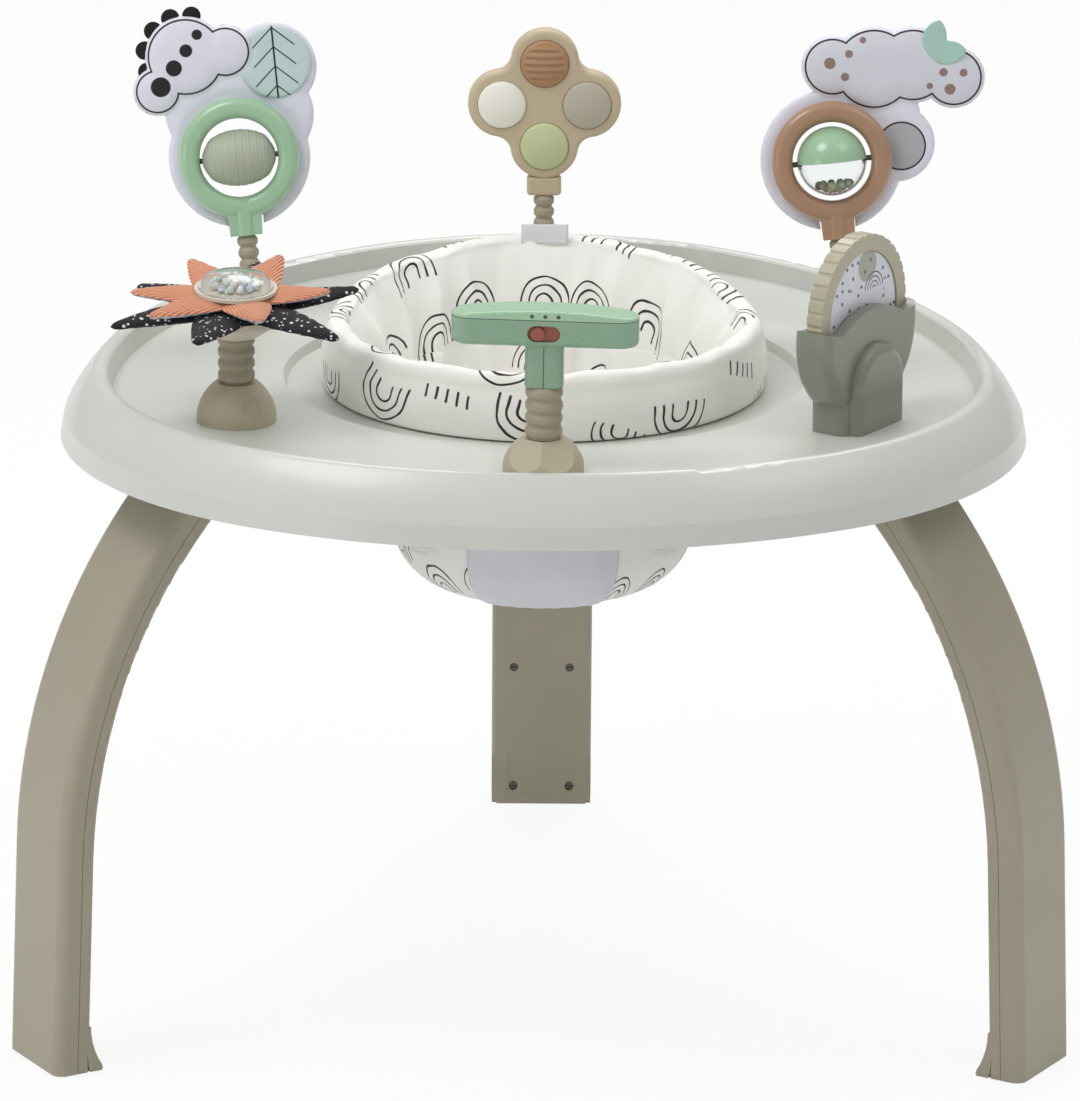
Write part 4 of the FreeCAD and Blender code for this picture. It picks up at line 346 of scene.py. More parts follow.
# ---------- materials of the carried-over parts ----------
# key: material name, colour, roughness, tone, grain, coat
PLASTICS = {
    "tray": ("tray_plastic", (208, 211, 204), 0.34, 0.012, 0.06, 0.25),
    "leg": ("leg_plastic", (164, 158, 138), 0.42, 0.03, 0.22),
    "inner": ("inner_plastic", (150, 150, 146), 0.5, 0.03, 0.2),
    "pad": ("pad_rubber", (70, 67, 62), 0.8, 0.08, 0.5),
    "screw": ("screw_steel", (92, 88, 84), 0.35, 0.1, 0.3),
    "stem": ("stem_plastic", (184, 174, 150), 0.5, 0.03, 0.25),
    # the ribbed stems' paint is the stem plastic made darker: painted shade in their grooves
    "ribs": ("ribbed_stem_plastic", (166, 156, 134), 0.5, 0.03, 0.25),
    "mint": ("mint_plastic", (162, 199, 164), 0.28, 0.02, 0.06, 0.4),
    "brown": ("brown_plastic", (174, 136, 108), 0.3, 0.03, 0.06, 0.35),
    "switch": ("switch_plastic", (150, 78, 56), 0.35, 0.04, 0.1, 0.2),
    "clover": ("clover_plastic", (200, 184, 154), 0.46, 0.03, 0.12),
    "house": ("housing_plastic", (134, 137, 124), 0.32, 0.03, 0.08, 0.2),
    "disc": ("disc_plastic", (180, 174, 150), 0.4, 0.03, 0.1, 0.15),
    "axle": ("axle_steel", (88, 84, 80), 0.35, 0.06, 0.2),
    "board": ("sound_board", (50, 88, 60), 0.5, 0.08, 0.2),
    "taupe": ("popper_taupe", (188, 180, 162), 0.55, 0.03, 0.15),
    "cream": ("popper_white", (242, 240, 228), 0.5, 0.02, 0.12),
    "green": ("popper_green", (198, 206, 160), 0.55, 0.02, 0.12),
    "hub": ("flower_hub", (214, 206, 190), 0.45, 0.03, 0.2),
    "card": ("music_card", (222, 222, 214), 0.4, 0.03, 0.1, 0.2),
}
M = {key: plastic(name, srgb(*rgb), *rest) for key, (name, rgb, *rest) in PLASTICS.items()}
M["screw"].give("Metallic", 0.8)


# Plastic with ridges across a direction, everywhere or within a radius of the origin.
def ridged(name, color, origin, direction, pitch, depth, radius=None):
    net = plastic(name, color, 0.5, 0.03, 0.2)
    offset = net.offset(net.coord(), tuple(origin))
    wave = net.wave(net.dot(offset, tuple(direction)), pitch)
    if radius is not None:
        wave = net.times(wave, net.below(net.length(offset), radius, 0.001))
    net.give("Normal", net.bump(wave, 0.7, depth))
    return net


popper_low, popper_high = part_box("popper_top")
popper_middle = [(a + b) / 2 for a, b in zip(popper_low, popper_high)]
M["top_popper"] = ridged("popper_brown", srgb(178, 136, 100), popper_middle, (0, 0, 1), 0.0058, 0.0011, 0.0165)
spin_axis = LEFT_RING.to_3x3() @ Vector((1, 0, 0))
M["spinner"] = ridged("spinner_plastic", srgb(176, 182, 164), LEFT_RING.translation, spin_axis, 0.0029, 0.00018)


def clear(name, color):
    net = Net(name)
    net.give("Base Color", toned(net, color, 0.02))
    net.give("Transmission Weight", 1.0)
    net.give("IOR", 1.25)
    fine = net.noise(net.coord(), 70.0, 2.0)
    net.give("Roughness", net.spread(fine, 0.04, 0.08))
    net.give("Normal", net.bump(fine, 0.05, 0.0003))
    return net


M["clear"] = clear("clear_plastic", (0.96, 0.98, 0.98, 1))


# Beads, each in one of the colours.
def beads(name, colors):
    net = Net(name)
    geo = net.add("ShaderNodeNewGeometry")
    ramp = net.add("ShaderNodeValToRGB")
    ramp.color_ramp.interpolation = "CONSTANT"
    stops = ramp.color_ramp.elements
    for k, color in enumerate(colors):
        place = k / len(colors)
        stop = stops[k] if k < 2 else stops.new(place)
        stop.position = place
        stop.color = srgb(*color)
    net.link(geo.outputs["Random Per Island"], ramp.inputs[0])
    net.give("Base Color", net.mix(net.spread(net.noise(net.coord(), 300.0), 0.0, 0.25), ramp.outputs[0], WHITE))
    net.give("Roughness", 0.28)
    return net


M["ball_beads"] = beads("ball_beads", (
    (74, 60, 54), (196, 176, 140), (160, 176, 138), (206, 196, 168), (150, 132, 100), (176, 186, 150)))
M["flower_beads"] = beads("flower_beads", (
    (206, 222, 214), (226, 214, 196), (200, 208, 226), (224, 226, 220), (190, 214, 196), (232, 212, 206)))


# Mint case half: dark below low and above high (the parting line), with round marks, and a line down the neck.
def case_plastic(name, paint, low, high, marks=(), neck_line=False):
    net = plastic(name, paint, 0.28, 0.02, 0.06, 0.4)
    x, y, z = net.local(MUSIC, (0, 1, 2))
    dark = net.most(net.below(z, low, 0.00008), net.above(z, high, 0.00008))
    for mx, mz in marks:
        far = net.length(net.join(net.minus(x, mx), net.minus(z, mz)))
        dark = net.most(dark, net.times(net.below(far, 0.0016, 0.0003), net.below(y, -0.008, 0.001)))
    if neck_line:
        line = net.below(net.size(x), 0.0004, 0.0001)
        dark = net.most(dark, net.times(line, net.below(z, 0.1005, 0.0003)))
    net.give("Base Color", net.mix(dark, net.color, srgb(58, 70, 60)))
    return net


MARK_Z = 0.1252
M["case_top"] = case_plastic("music_case_top", srgb(162, 199, 164), 0.12235, 1.0,
                             ((-0.009, MARK_Z), (0.001, MARK_Z), (0.011, MARK_Z)))
# The lower half is the lid's mint made darker: painted shade.
M["case_low"] = case_plastic("music_case_low", srgb(134, 168, 140), -1.0, 0.1217, neck_line=True)


# Wheel picture: two hills, a round, nested arches and dots on a pale ground.
def wheel_picture():
    net = plastic("wheel_picture", srgb(214, 216, 224), 0.3, 0.02, 0.04, 0.4)
    offset = net.offset(net.coord(), WHEEL_MIDDLE)
    px = net.dot(offset, (math.cos(WHEEL_YAW), math.sin(WHEEL_YAW), 0))
    pz = net.dot(offset, (0, 0, 1))

    def from_spot(x, z):
        return net.length(net.join(net.minus(px, x), net.minus(pz, z)))

    color = net.color
    for x, z, radius, paint in ((-0.018, -0.022, 0.024, (196, 178, 164)), (0.022, -0.026, 0.020, (226, 220, 204)),
                                (0.006, 0.036, 0.013, (160, 162, 146))):
        color = net.mix(net.below(from_spot(x, z), radius, 0.0004), color, srgb(*paint))
    far = from_spot(0.016, 0.016)
    arches = net.below(net.from_line(net.over(far, 0.0036)), 0.15, 0.04)
    inside = net.times(net.below(far, 0.0135, 0.0003), net.above(pz, 0.016, 0.0003))
    color = net.mix(net.times(arches, inside), color, INK)
    dots = net.cells(net.join(px, pz), 0.0085, 0.8)
    chosen = net.above(net.split(dots["Color"])[1], 0.45, 0.01)
    spot = net.times(net.below(dots["Distance"], 0.17, 0.03), chosen)
    spot = net.times(spot, net.above(far, 0.0145, 0.0005))
    net.give("Base Color", net.mix(spot, color, INK))
    return net


M["picture"] = wheel_picture()

USE = {
    "tray": "tray_top",
    "leg": "leg_back leg_left leg_right leg_covers",
    "inner": "leg_sockets seat_ring seat_clamp_ring",
    "pad": "foot_pads",
    "screw": "frame_screws",
    "stem": "music_base flower_base thin_stem_bases",
    "case_low": "music_case_lower",
    "case_top": "music_case_upper",
    "switch": "music_switch",
    "card": "music_face",
    "board": "music_sound_unit",
    "mint": "battery_door left_ring_front left_ring_rear ball_top",
    "brown": "music_button_left right_ring_front right_ring_rear",
    "cream": "music_button_right popper_left",
    "hub": "flower_hub",
    "clear": "flower_dome ball_bottom",
    "flower_beads": "flower_beads",
    "ball_beads": "ball_beads",
    "spinner": "spinner",
    "axle": "spinner_axle ball_pins",
    "clover": "clover_front clover_rear",
    "taupe": "popper_right",
    "top_popper": "popper_top",
    "green": "popper_bottom",
    "house": "wheel_housing_front wheel_housing_rear",
    "disc": "wheel_disc",
    "picture": "wheel_pictures",
}
for key, names in USE.items():
    for node in names.split():
        for slot in nodes[node].material_slots:
            slot.link = "OBJECT"
            slot.material = M[key].mat


# ---------- ribbed stems ----------
# Each ribbed stem is copied into a sleeve in the ribbed paint, and the CAD stem is hidden.
for joint in frame["record"]["behaviour"]["joints"]:
    for bent in joint.get("deforming_nodes", ()):
        source = nodes[bent["node"]]
        sleeve = show(bpy.data.objects.new(bent["node"] + "_sleeve", source.data.copy()))
        sleeve.matrix_world = source.matrix_world
        sleeve.data.materials.clear()
        sleeve.data.materials.append(M["ribs"].mat)
        x, y, z = joint["pos_m"]
        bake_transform(sleeve)
        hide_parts(bent["node"])


# ---------- soft goods ----------
# A mesh object; unless it is flat-shaded, its normals are turned outwards.
def new_object(name, verts, faces, net, uvs=None, smooth=True):
    me = bpy.data.meshes.new(name)
    me.from_pydata([tuple(v) for v in verts], [], faces)
    me.update()
    if uvs is not None:
        layer = me.uv_layers.new(name="UVMap")
        for loop in me.loops:
            layer.data[loop.index].uv = uvs[loop.vertex_index]
    for p in me.polygons:
        p.use_smooth = smooth
    me.materials.append(net.mat)
    if smooth:
        bm = bmesh.new()
        bm.from_mesh(me)
        bmesh.ops.recalc_face_normals(bm, faces=bm.faces)
        bm.to_mesh(me)
        bm.free()
    return show(bpy.data.objects.new(name, me))


def apply_all(o):
    deps = bpy.context.evaluated_depsgraph_get()
    me = bpy.data.meshes.new_from_object(o.evaluated_get(deps), depsgraph=deps)
    o.modifiers.clear()
    old = o.data
    o.data = me
    bpy.data.meshes.remove(old)


def positions(o):
    co = np.empty(len(o.data.vertices) * 3)
    o.data.vertices.foreach_get("co", co)
    return co.reshape(-1, 3)


def set_positions(o, co):
    o.data.vertices.foreach_set("co", co.ravel())
    o.data.update()


PAD_PRESSURE = 3.0
PAD_STIFFNESS = 15.0


# Inflates a closed piece with cloth. keep(points) gives for each point the largest move.
def inflate(o, keep, frames):
    start = positions(o)
    s = o.modifiers.new("pad", "CLOTH").settings
    s.quality = 5
    s.mass = 0.2
    s.use_pressure = True
    s.uniform_pressure_force = PAD_PRESSURE
    s.tension_stiffness = PAD_STIFFNESS
    s.compression_stiffness = PAD_STIFFNESS
    s.bending_stiffness = 0.5
    s.effector_weights.gravity = 0
    scene = bpy.context.scene
    for f in range(1, frames + 1):
        scene.frame_set(f)
    apply_all(o)
    scene.frame_set(1)
    move = positions(o) - start
    factor = np.minimum(1.0, keep(start) / np.maximum(np.linalg.norm(move, axis=1), 1e-9))
    set_positions(o, start + move * factor[:, None])


# A soft copy of a CAD node: remeshed in voxels, then eased.
def remeshed(name, node, voxel, net, rounds):
    o = nodes[node].copy()
    o.data = nodes[node].data.copy()
    o.name = name
    o.parent = None
    o.matrix_world = Matrix.Identity(4)
    o.data.materials.clear()
    o.data.materials.append(net.mat)
    show(o)
    for s in o.material_slots:
        s.link = "DATA"
    m = o.modifiers.new("voxels", "REMESH")
    m.mode = "VOXEL"
    m.voxel_size = voxel
    m.use_smooth_shade = True
    k = o.modifiers.new("ease", "SMOOTH")
    k.iterations = rounds
    k.factor = 0.5
    apply_all(o)
    if not o.data.materials:
        o.data.materials.append(net.mat)
    return o


def subdivide(o):
    m = o.modifiers.new("finer", "SUBSURF")
    m.levels = 1
    m.render_levels = 1
    apply_all(o)


# The faces of a tube that closes both ways: n sections of count points.
def torus_faces(n, count):
    faces = []
    for i in range(n):
        j = (i + 1) % n
        for k in range(count):
            m = (k + 1) % count
            faces.append((i * count + k, j * count + k, j * count + m, i * count + m))
    return faces


# The points that the faces use, and the faces in those points' new numbers.
def packed(faces):
    used = sorted(set(q for f in faces for q in f))
    index = {q: i for i, q in enumerate(used)}
    return used, [tuple(index[q] for q in f) for f in faces]


# The faces of a closed flat piece: its cells on both sides, n points apart, and a strip along the open edges.
def two_sided(cells, n):
    faces, edges = [], {}
    for c in cells:
        faces.append(c)
        faces.append(tuple(n + q for q in reversed(c)))
        edges.update(dict.fromkeys(zip(c, c[1:] + c[:1])))
    for a, b in edges:
        if (b, a) not in edges:
            faces.append((b, a, n + a, n + b))
    return faces


def thicken(o, thickness):
    s = o.modifiers.new("thick", "SOLIDIFY")
    s.thickness = thickness
    s.offset = 0.0
    apply_all(o)


# Sets a fabric piece to ride its body and hides the CAD node that it replaces.
def fabric(o, body, node):
    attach(o, body)
    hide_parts(node)


# ---------- the seat: lengths in mm, angles from +X ----------
seat_print = print_fabric("seat_print")
PRINT_SCALE = 0.165  # metres of print for each radian round the seat
CUFF_PRINT, BUCKET_PRINT = 0.006, 0.009  # how far up the print starts on each


# Points of the arc from a through b to c.
def arc3(a, b, c, n):
    (ax, ay), (bx, by), (cx, cy) = a, b, c
    d = 2 * (ax * (by - cy) + bx * (cy - ay) + cx * (ay - by))
    ux = ((ax**2 + ay**2) * (by - cy) + (bx**2 + by**2) * (cy - ay) + (cx**2 + cy**2) * (ay - by)) / d
    uy = ((ax**2 + ay**2) * (cx - bx) + (bx**2 + by**2) * (ax - cx) + (cx**2 + cy**2) * (bx - ax)) / d
    r = math.hypot(ax - ux, ay - uy)
    t0, t1, t2 = (math.atan2(py - uy, px - ux) for px, py in (a, b, c))
    while t1 < t0:
        t1 += math.tau
    while t2 < t0:
        t2 += math.tau
    if t1 > t2:
        t2 -= math.tau
    turns = [t0 + (t2 - t0) * k / n for k in range(n + 1)]
    return [(ux + r * math.cos(t), uy + r * math.sin(t)) for t in turns]


# The bucket's outer outline as points (r, z), from the rim to the middle.
BUCKET = (arc3((141.0, 488.6), (126.0, 420.0), (119.0, 368.0), 24)
          + arc3((119.0, 368.0), (104.0, 343.0), (68.0, 331.0), 10)[1:]
          + [(68.0 - 64.0 * k / 6, 331.0) for k in range(1, 7)])


# Height of the cuff's crest: low in front, high at the back.
def crest(theta):
    back = math.sin(theta) ** 2 if 0 < theta < math.pi else 0.0
    return 545.0 + 24.0 * back ** 0.9


# Soft pleats of the fabric that hangs inside: (angle in degrees, width, depth in mm).
PLEATS = ((5, 8, 4.2), (27, 11, 5.4), (47, 6, 3.8), (63, 9, 5.6), (79, 6, 3.4), (93, 10, 5.2), (112, 7, 4.4),
          (127, 10, 5.8), (146, 6, 4.2), (163, 10, 5.4), (186, 8, 4.2), (214, 9, 4.4), (236, 6, 3.0),
          (262, 8, 3.0), (286, 9, 3.2), (309, 7, 4.0), (334, 10, 4.8))
LIP_R = 135.6  # the fabric's inner radius where it passes the ring
LIP_Z = 489.0
HANG_Z = 470.0  # below this the fabric follows the bucket
HANG_DEPTH = 4.7  # from the bucket's outer face to the fabric's inner one


def pleat(theta, z):
    total = 0.0
    for k, (angle, width, depth) in enumerate(PLEATS):
        lean = 3.5 * math.sin(z * 0.028 + k * 1.9)
        d = abs((math.degrees(theta) - angle - lean + 180) % 360 - 180) / width
        if d < 3:
            total += depth * 2.0 * math.exp(-2.4 * d ** 1.4)
    return total


# Inner face of the hanging fabric: radius at an angle and height.
def wall(theta, z):
    if z >= LIP_Z:
        base = LIP_R + 22.0 * clamp((z - LIP_Z) / (crest(theta) - 8.0 - LIP_Z)) ** 1.3
    elif z < HANG_Z:
        base = wall_radius(z) - HANG_DEPTH
    else:
        k = (z - HANG_Z) / (LIP_Z - HANG_Z)
        base = (wall_radius(HANG_Z) - HANG_DEPTH) * (1 - k) + LIP_R * k
    near_top = clamp((crest(theta) - z) / 34.0)
    low = clamp((z - 362.0) / 90.0)
    return base - pleat(theta, z) * near_top ** 0.8 * low - 0.8 * ripple(theta, z, 1.9) * low


# The bucket's outer radius at a height.
def wall_radius(z):
    for a, b in zip(BUCKET, BUCKET[1:]):
        if b[1] <= z <= a[1]:
            s = (a[1] - z) / max(1e-6, a[1] - b[1])
            return a[0] + (b[0] - a[0]) * s
    return BUCKET[0][0] if z > BUCKET[0][1] else BUCKET[-8][0]


SKIRT_Z = 491.8
CREST_R = 172.3
CREST_DEPTH = 13.0
CUFF_FOOT = ((143.0, 481.5), (143.0, 488.2), (149.5, 488.2), (149.5, 510.4), (156.5, 510.4), (156.5, 495.5),
             (168.5, 495.5), (168.5, SKIRT_Z))


# The cuff's section at one angle as points (r, z, softness), round from the skirt.
def cuff_section(theta):
    top = crest(theta)
    pts = []
    for z in np.linspace(SKIRT_Z, top - CREST_DEPTH, 11):
        s = (z - SKIRT_Z) / (top - CREST_DEPTH - SKIRT_Z)
        r = 174.9 + 1.5 * math.sin(math.pi * s) - 2.6 * s ** 3
        pts.append((r, z, 0.3 + 0.7 * math.sin(math.pi * s * 0.8)))
    inner_r = wall(theta, top - 8.0)
    mid = (CREST_R + inner_r) / 2
    half = (CREST_R - inner_r) / 2
    for deg in range(10, 171, 16):
        side, up = math.cos(math.radians(deg)), math.sin(math.radians(deg))
        hold = 5.0 * (1 - side) / 2 if deg > 90 else 0.0
        pts.append((mid + half * side, top - CREST_DEPTH + CREST_DEPTH * up ** 0.85 + hold * (1 - up), 1.0))
    for z in np.linspace(top - 8.0, 481.0, 18):
        pts.append((wall(theta, z) + max(0.0, 486.5 - z) * 0.4, z, 0.0))
    return pts + [(r, z, 0.0) for r, z in CUFF_FOOT]


def ripple(theta, z, seed):
    return (math.sin(7 * theta + seed + z * 0.05) * 0.45 + math.sin(17 * theta + 1.7 * seed - z * 0.09) * 0.33
            + math.sin(31 * theta + 2.3 * seed + z * 0.06) * 0.22)


LIP_END_Z = 485.5


# Length of the fabric from the cuff's outer foot over the crest down to the lip inside.
def lip_run(theta):
    run = 0.0
    last = None
    for r, z, _ in cuff_section(theta):
        if last is not None:
            if last[0] < 160 and z < LIP_END_Z:
                break
            run += math.hypot(r - last[0], z - last[1])
        last = (r, z)
    return run


# The print's seam lies at +X, where u starts again: low corners of a face there go on in the next turn.
def close_seam(layer, corners):
    us = [layer[l].uv[0] for l in corners]
    if max(us) - min(us) > 0.5:
        for l in corners:
            u, v = layer[l].uv
            if u < 0.3:
                layer[l].uv = (u + math.tau * PRINT_SCALE, v)


def build_cuff():
    n = 300
    verts, uvs = [], []
    for i in range(n):
        theta = math.tau * i / n
        section = cuff_section(theta)
        run = 0.0
        last = section[0]
        for r, z, soft in section:
            run += math.hypot(r - last[0], z - last[1])
            last = (r, z)
            dr = ripple(theta, z, 0.6) * 0.9 * soft
            dz = 1.3 * soft * ripple(theta, 0, 3.1) if z > 517 else 0.0
            rr = (r + dr) * MM
            verts.append((rr * math.cos(theta), rr * math.sin(theta) + SHIFT, (z + dz) * MM))
            uvs.append((theta * PRINT_SCALE, run * MM - CUFF_PRINT))
    o = new_object("seat_cuff_cloth", verts, torus_faces(n, len(verts) // n), seat_print, uvs)
    layer = o.data.uv_layers[0].data
    for p in o.data.polygons:
        close_seam(layer, p.loop_indices)
        # the section's last face closes it, where v starts again
        vs = [layer[l].uv[1] for l in p.loop_indices]
        if max(vs) - min(vs) > 0.1:
            for l in p.loop_indices:
                if layer[l].uv[1] < 0.02:
                    layer[l].uv = (layer[l].uv[0], max(vs))
    return o


cuff = build_cuff()


# Free to swell above the skirt, but not where the cuff holds the ring.
def cuff_keep(p):
    r = np.hypot(p[:, 0], p[:, 1] - SHIFT)
    z = p[:, 2]
    limit = 0.0028 * np.clip((z - 0.494) / 0.03, 0.0, 1.0)
    limit[(r > 0.1485) & (r < 0.1700) & (z < 0.5125)] = 0.0
    return limit


inflate(cuff, cuff_keep, 10)
subdivide(cuff)
fabric(cuff, "seat", "seat_cuff")


# A closed round cord along a path.
def tube(name, path, radius, net):
    verts = []
    n, sides = len(path), 10
    for i, p in enumerate(path):
        t = (Vector(path[(i + 1) % n]) - Vector(path[i - 1])).normalized()
        side = t.cross(Vector((0, 0, 1)))
        if side.length < 0.1:
            side = t.cross(Vector((1, 0, 0)))
        side.normalize()
        up = side.cross(t)
        for k in range(sides):
            f = math.tau * k / sides
            verts.append(Vector(p) + side * (math.cos(f) * radius) + up * (math.sin(f) * radius))
    return new_object(name, verts, torus_faces(n, sides), net)


HOLES = (math.radians(-90 + 57), math.radians(-90 - 57))
HOLE_Z = 424.0
HOLE_R = 50.0
HOLE_SIDE = 40  # only points this far out on a hole's side can be in it
WALL_HALF = 2.6  # from the bucket's outer face to the middle of its cloth


# Where a point lies from a leg hole's middle: sideways, up, and out from the seat's axis.
def hole_offset(x, y, z, azimuth):
    tangent = -x * math.sin(azimuth) + y * math.cos(azimuth)
    along = x * math.cos(azimuth) + y * math.sin(azimuth)
    return tangent, z - HOLE_Z, along


def in_hole(x, y, z):
    spots = [hole_offset(x, y, z, az) for az in HOLES]
    return any(along > HOLE_SIDE and math.hypot(t, h) < HOLE_R for t, h, along in spots)


def build_bucket():
    n = 320
    m = len(BUCKET)
    verts, uvs = [], []
    run = 0.0
    runs = [0.0]
    for a, b in zip(BUCKET, BUCKET[1:]):
        run += math.hypot(b[0] - a[0], b[1] - a[1])
        runs.append(run)
    for i in range(n):
        theta = math.tau * i / n
        back = abs((theta - 1.5 * math.pi + math.pi) % math.tau - math.pi)
        calm = clamp((back - math.radians(33)) / math.radians(12))
        lip = lip_run(theta)
        for k, (r, z) in enumerate(BUCKET):
            s = runs[k] / run
            shell = r - WALL_HALF
            if z > 372:
                drawn = wall(theta, z) + 2.1 + 0.7 * clamp((z - 482.0) / 6.0)
                blend = max(calm, clamp((z - 476.0) / 12.0))
                shell = shell + (drawn - shell) * blend * min(1.0, (z - 372.0) / 30.0)
            rr = max(shell, 2.0)
            rise = WALL_HALF if s > 0.8 else WALL_HALF * max(0, (s - 0.62)) / 0.18
            verts.append([rr * math.cos(theta), rr * math.sin(theta), z + rise])
            uvs.append((theta * PRINT_SCALE, (lip + runs[k]) * MM - BUCKET_PRINT))
    faces = []
    gone = set()
    for i in range(n):
        j = (i + 1) % n
        for k in range(m - 1):
            quad = (i * m + k, j * m + k, j * m + k + 1, i * m + k + 1)
            if in_hole(*(sum(verts[q][d] for q in quad) / 4 for d in range(3))):
                gone.update(quad)
            else:
                faces.append(quad)
    faces.append(tuple(range(m - 1, n * m, m)))
    used, faces = packed(faces)
    # the cut edge is drawn onto the hole's round
    for q in gone.intersection(used):
        for az in HOLES:
            t, h, along = hole_offset(*verts[q], az)
            d = math.hypot(t, h)
            if along > HOLE_SIDE and d < 60:
                grow = (HOLE_R + 0.5) / d
                verts[q][0] += (t * grow - t) * -math.sin(az)
                verts[q][1] += (t * grow - t) * math.cos(az)
                verts[q][2] += h * grow - h
    pts = [(verts[q][0] * MM, verts[q][1] * MM + SHIFT, verts[q][2] * MM) for q in used]
    o = new_object("seat_bucket_cloth", pts, faces, seat_print, [uvs[q] for q in used])
    layer = o.data.uv_layers[0].data
    for p in o.data.polygons:
        close_seam(layer, p.loop_indices)
    thicken(o, 0.0042)
    return o


fabric(build_bucket(), "seat", "seat_bucket")

# Binding round each leg hole, on the bucket's own curve.
piping_cloth = cloth("piping_cloth", srgb(240, 238, 234), 0.03)
for name, az in zip(("right", "left"), HOLES):
    path = []
    for i in range(96):
        f = math.tau * i / 96
        t, h = HOLE_R * math.cos(f), HOLE_R * math.sin(f)
        r = wall_radius(HOLE_Z + h) - WALL_HALF
        along = math.sqrt(max(1.0, r * r - t * t))
        x = along * math.cos(az) - t * math.sin(az)
        y = along * math.sin(az) + t * math.cos(az)
        path.append((x * MM, y * MM + SHIFT, (HOLE_Z + h) * MM))
    hem = tube("leg_hole_binding_" + name, path, 0.0027, piping_cloth)
    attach(hem, "seat")

lining = cloth("seat_lining", srgb(222, 223, 230), 0.03)


# The plain panel between the leg holes, cut off where it meets them.
def build_panel():
    prof = [p for p in BUCKET if p[1] < 476 and p[0] > 26]
    half = math.radians(29)
    n = 60
    m = len(prof)
    verts, faces = [], []
    for i in range(n + 1):
        theta = -math.pi / 2 - half + 2 * half * i / n
        edge = min(i, n - i) / 5
        for k, (r, z) in enumerate(prof):
            s = k / (m - 1)
            flat = 1.0 if k < m - 7 else 0.25
            puff = 1.5 + 0.5 * min(1.0, edge) + 0.25 * math.sin(theta * 40) * math.sin(s * 14)
            rr = r + puff * flat
            verts.append((rr * math.cos(theta) * MM, rr * math.sin(theta) * MM + SHIFT, (z - puff * (1 - flat)) * MM))
    keep = [not in_hole(x / MM, (y - SHIFT) / MM, z / MM) for x, y, z in verts]
    for i in range(n):
        for k in range(m - 1):
            quad = (i * m + k, (i + 1) * m + k, (i + 1) * m + k + 1, i * m + k + 1)
            if all(keep[q] for q in quad):
                faces.append(quad)
    used, faces = packed(faces)
    o = new_object("crotch_panel_cloth", [verts[q] for q in used], faces, lining)
    thicken(o, 0.0016)
    return o


fabric(build_panel(), "seat", "crotch_panel")


# A small plain tape loop at the back of the cuff.
def build_tag():
    tape = cloth("tag_tape", srgb(238, 236, 240), 0.02, 0.0005)
    verts = []
    nx, nz = 16, 10
    for side in (1, -1):
        for i in range(nx + 1):
            for k in range(nz + 1):
                x = -18.9 + 37.8 * i / nx
                z = 562.6 + 15.8 * k / nz
                bow = 0.5 * math.cos(math.pi * x / 38) + 0.25 * math.sin(k * 0.9)
                top = math.sqrt(max(0.0, 1 - (k / nz) ** 6))
                verts.append((x * MM, (153.0 + bow + side * 0.45 * top) * MM + SHIFT, z * MM))
    across = nz + 1
    cells = [(q, q + across, q + across + 1, q + 1) for i in range(nx) for q in range(i * across, i * across + nz)]
    return new_object("seat_tag_tape", verts, two_sided(cells, (nx + 1) * across), tape)


fabric(build_tag(), "seat", "seat_tag")


# ---------- petals ----------
def ribbed_cloth(name, color, pitch):
    net = cloth(name, color, 0.06, 0.0006)
    rib = net.wave(net.split(net.coord("UV"))[0], pitch)
    height = net.plus(rib, net.times(net.noise(net.coord(), 700.0), 0.6))
    net.give("Normal", net.bump(height, 0.8, 0.0009))
    # The top cloth is darker down in the rib grooves: painted shade.
    top = net.mix(net.span(rib, -1.0, 0.3, 0.5, 0.0), net.color, shade(color, 0.66))
    geo = net.add("ShaderNodeNewGeometry")
    under = net.below(net.split(geo.outputs["Normal"])[2], -0.12, 0.05)
    mark = net.above(net.noise(net.coord(), 420.0, 2.0), 0.6, 0.03)
    net.give("Base Color", net.mix(under, top, net.mix(mark, srgb(214, 210, 224), srgb(60, 52, 64))))
    return net


def flecked_cloth(name, color, fleck):
    net = cloth(name, color, 0.08, 0.0006, 0.04)
    cell = net.cells(net.coord(), 0.0046, 0.95, "3D")
    size = net.span(net.split(cell["Color"])[0], 0.0, 1.0, 0.12, 0.31)
    spot = net.above(net.minus(size, cell["Distance"]), 0.0, 0.02)
    net.give("Base Color", net.mix(spot, net.color, fleck))
    return net


# One stuffed petal: closed, widest near the middle, drawn in to a blunt tip.
def petal_points(angle, reach, rise, half, thick, level, verts, uvs, faces):
    shares = (0.0, 0.3, 0.64, 1.0)
    width = np.polyfit(shares, (0.9, 1.0, 0.68, 0.16), 3)
    depth = np.polyfit(shares, (0.85, 1.0, 0.92, 0.5), 3)
    n, m = 34, 30
    start = len(verts)
    turn = math.radians(angle)
    for i in range(n + 1):
        t = i / n
        tip = math.sqrt(max(0.0, 1 - (max(0.0, t - 0.94) / 0.06) ** 2.2))
        tip = max(tip, 0.03)
        w = half * np.polyval(width, t) * tip
        h = thick / 2 * np.polyval(depth, t) * tip * 1.12
        along = 12.0 + (reach - 12.0) * t
        z = level + rise * t * t
        for k in range(m):
            f = math.tau * k / m
            c, q = math.cos(f), math.sin(f)
            y = w * c
            v = h * q * abs(q) ** 0.25
            v += 0.3 * math.sin(along * 0.55 + angle) * math.cos(c * 4 + angle) * tip
            x2 = along * math.cos(turn) - y * math.sin(turn)
            y2 = along * math.sin(turn) + y * math.cos(turn)
            verts.append(FLOWER @ Vector((x2 * MM, y2 * MM, (z + v) * MM)))
            uvs.append((y * MM, along * MM))
    for i in range(n):
        for k in range(m):
            j = (k + 1) % m
            a, b = start + i * m, start + (i + 1) * m
            faces.append((a + k, a + j, b + j, b + k))
    faces.append(tuple(start + k for k in range(m)))
    faces.append(tuple(start + n * m + k for k in range(m - 1, -1, -1)))


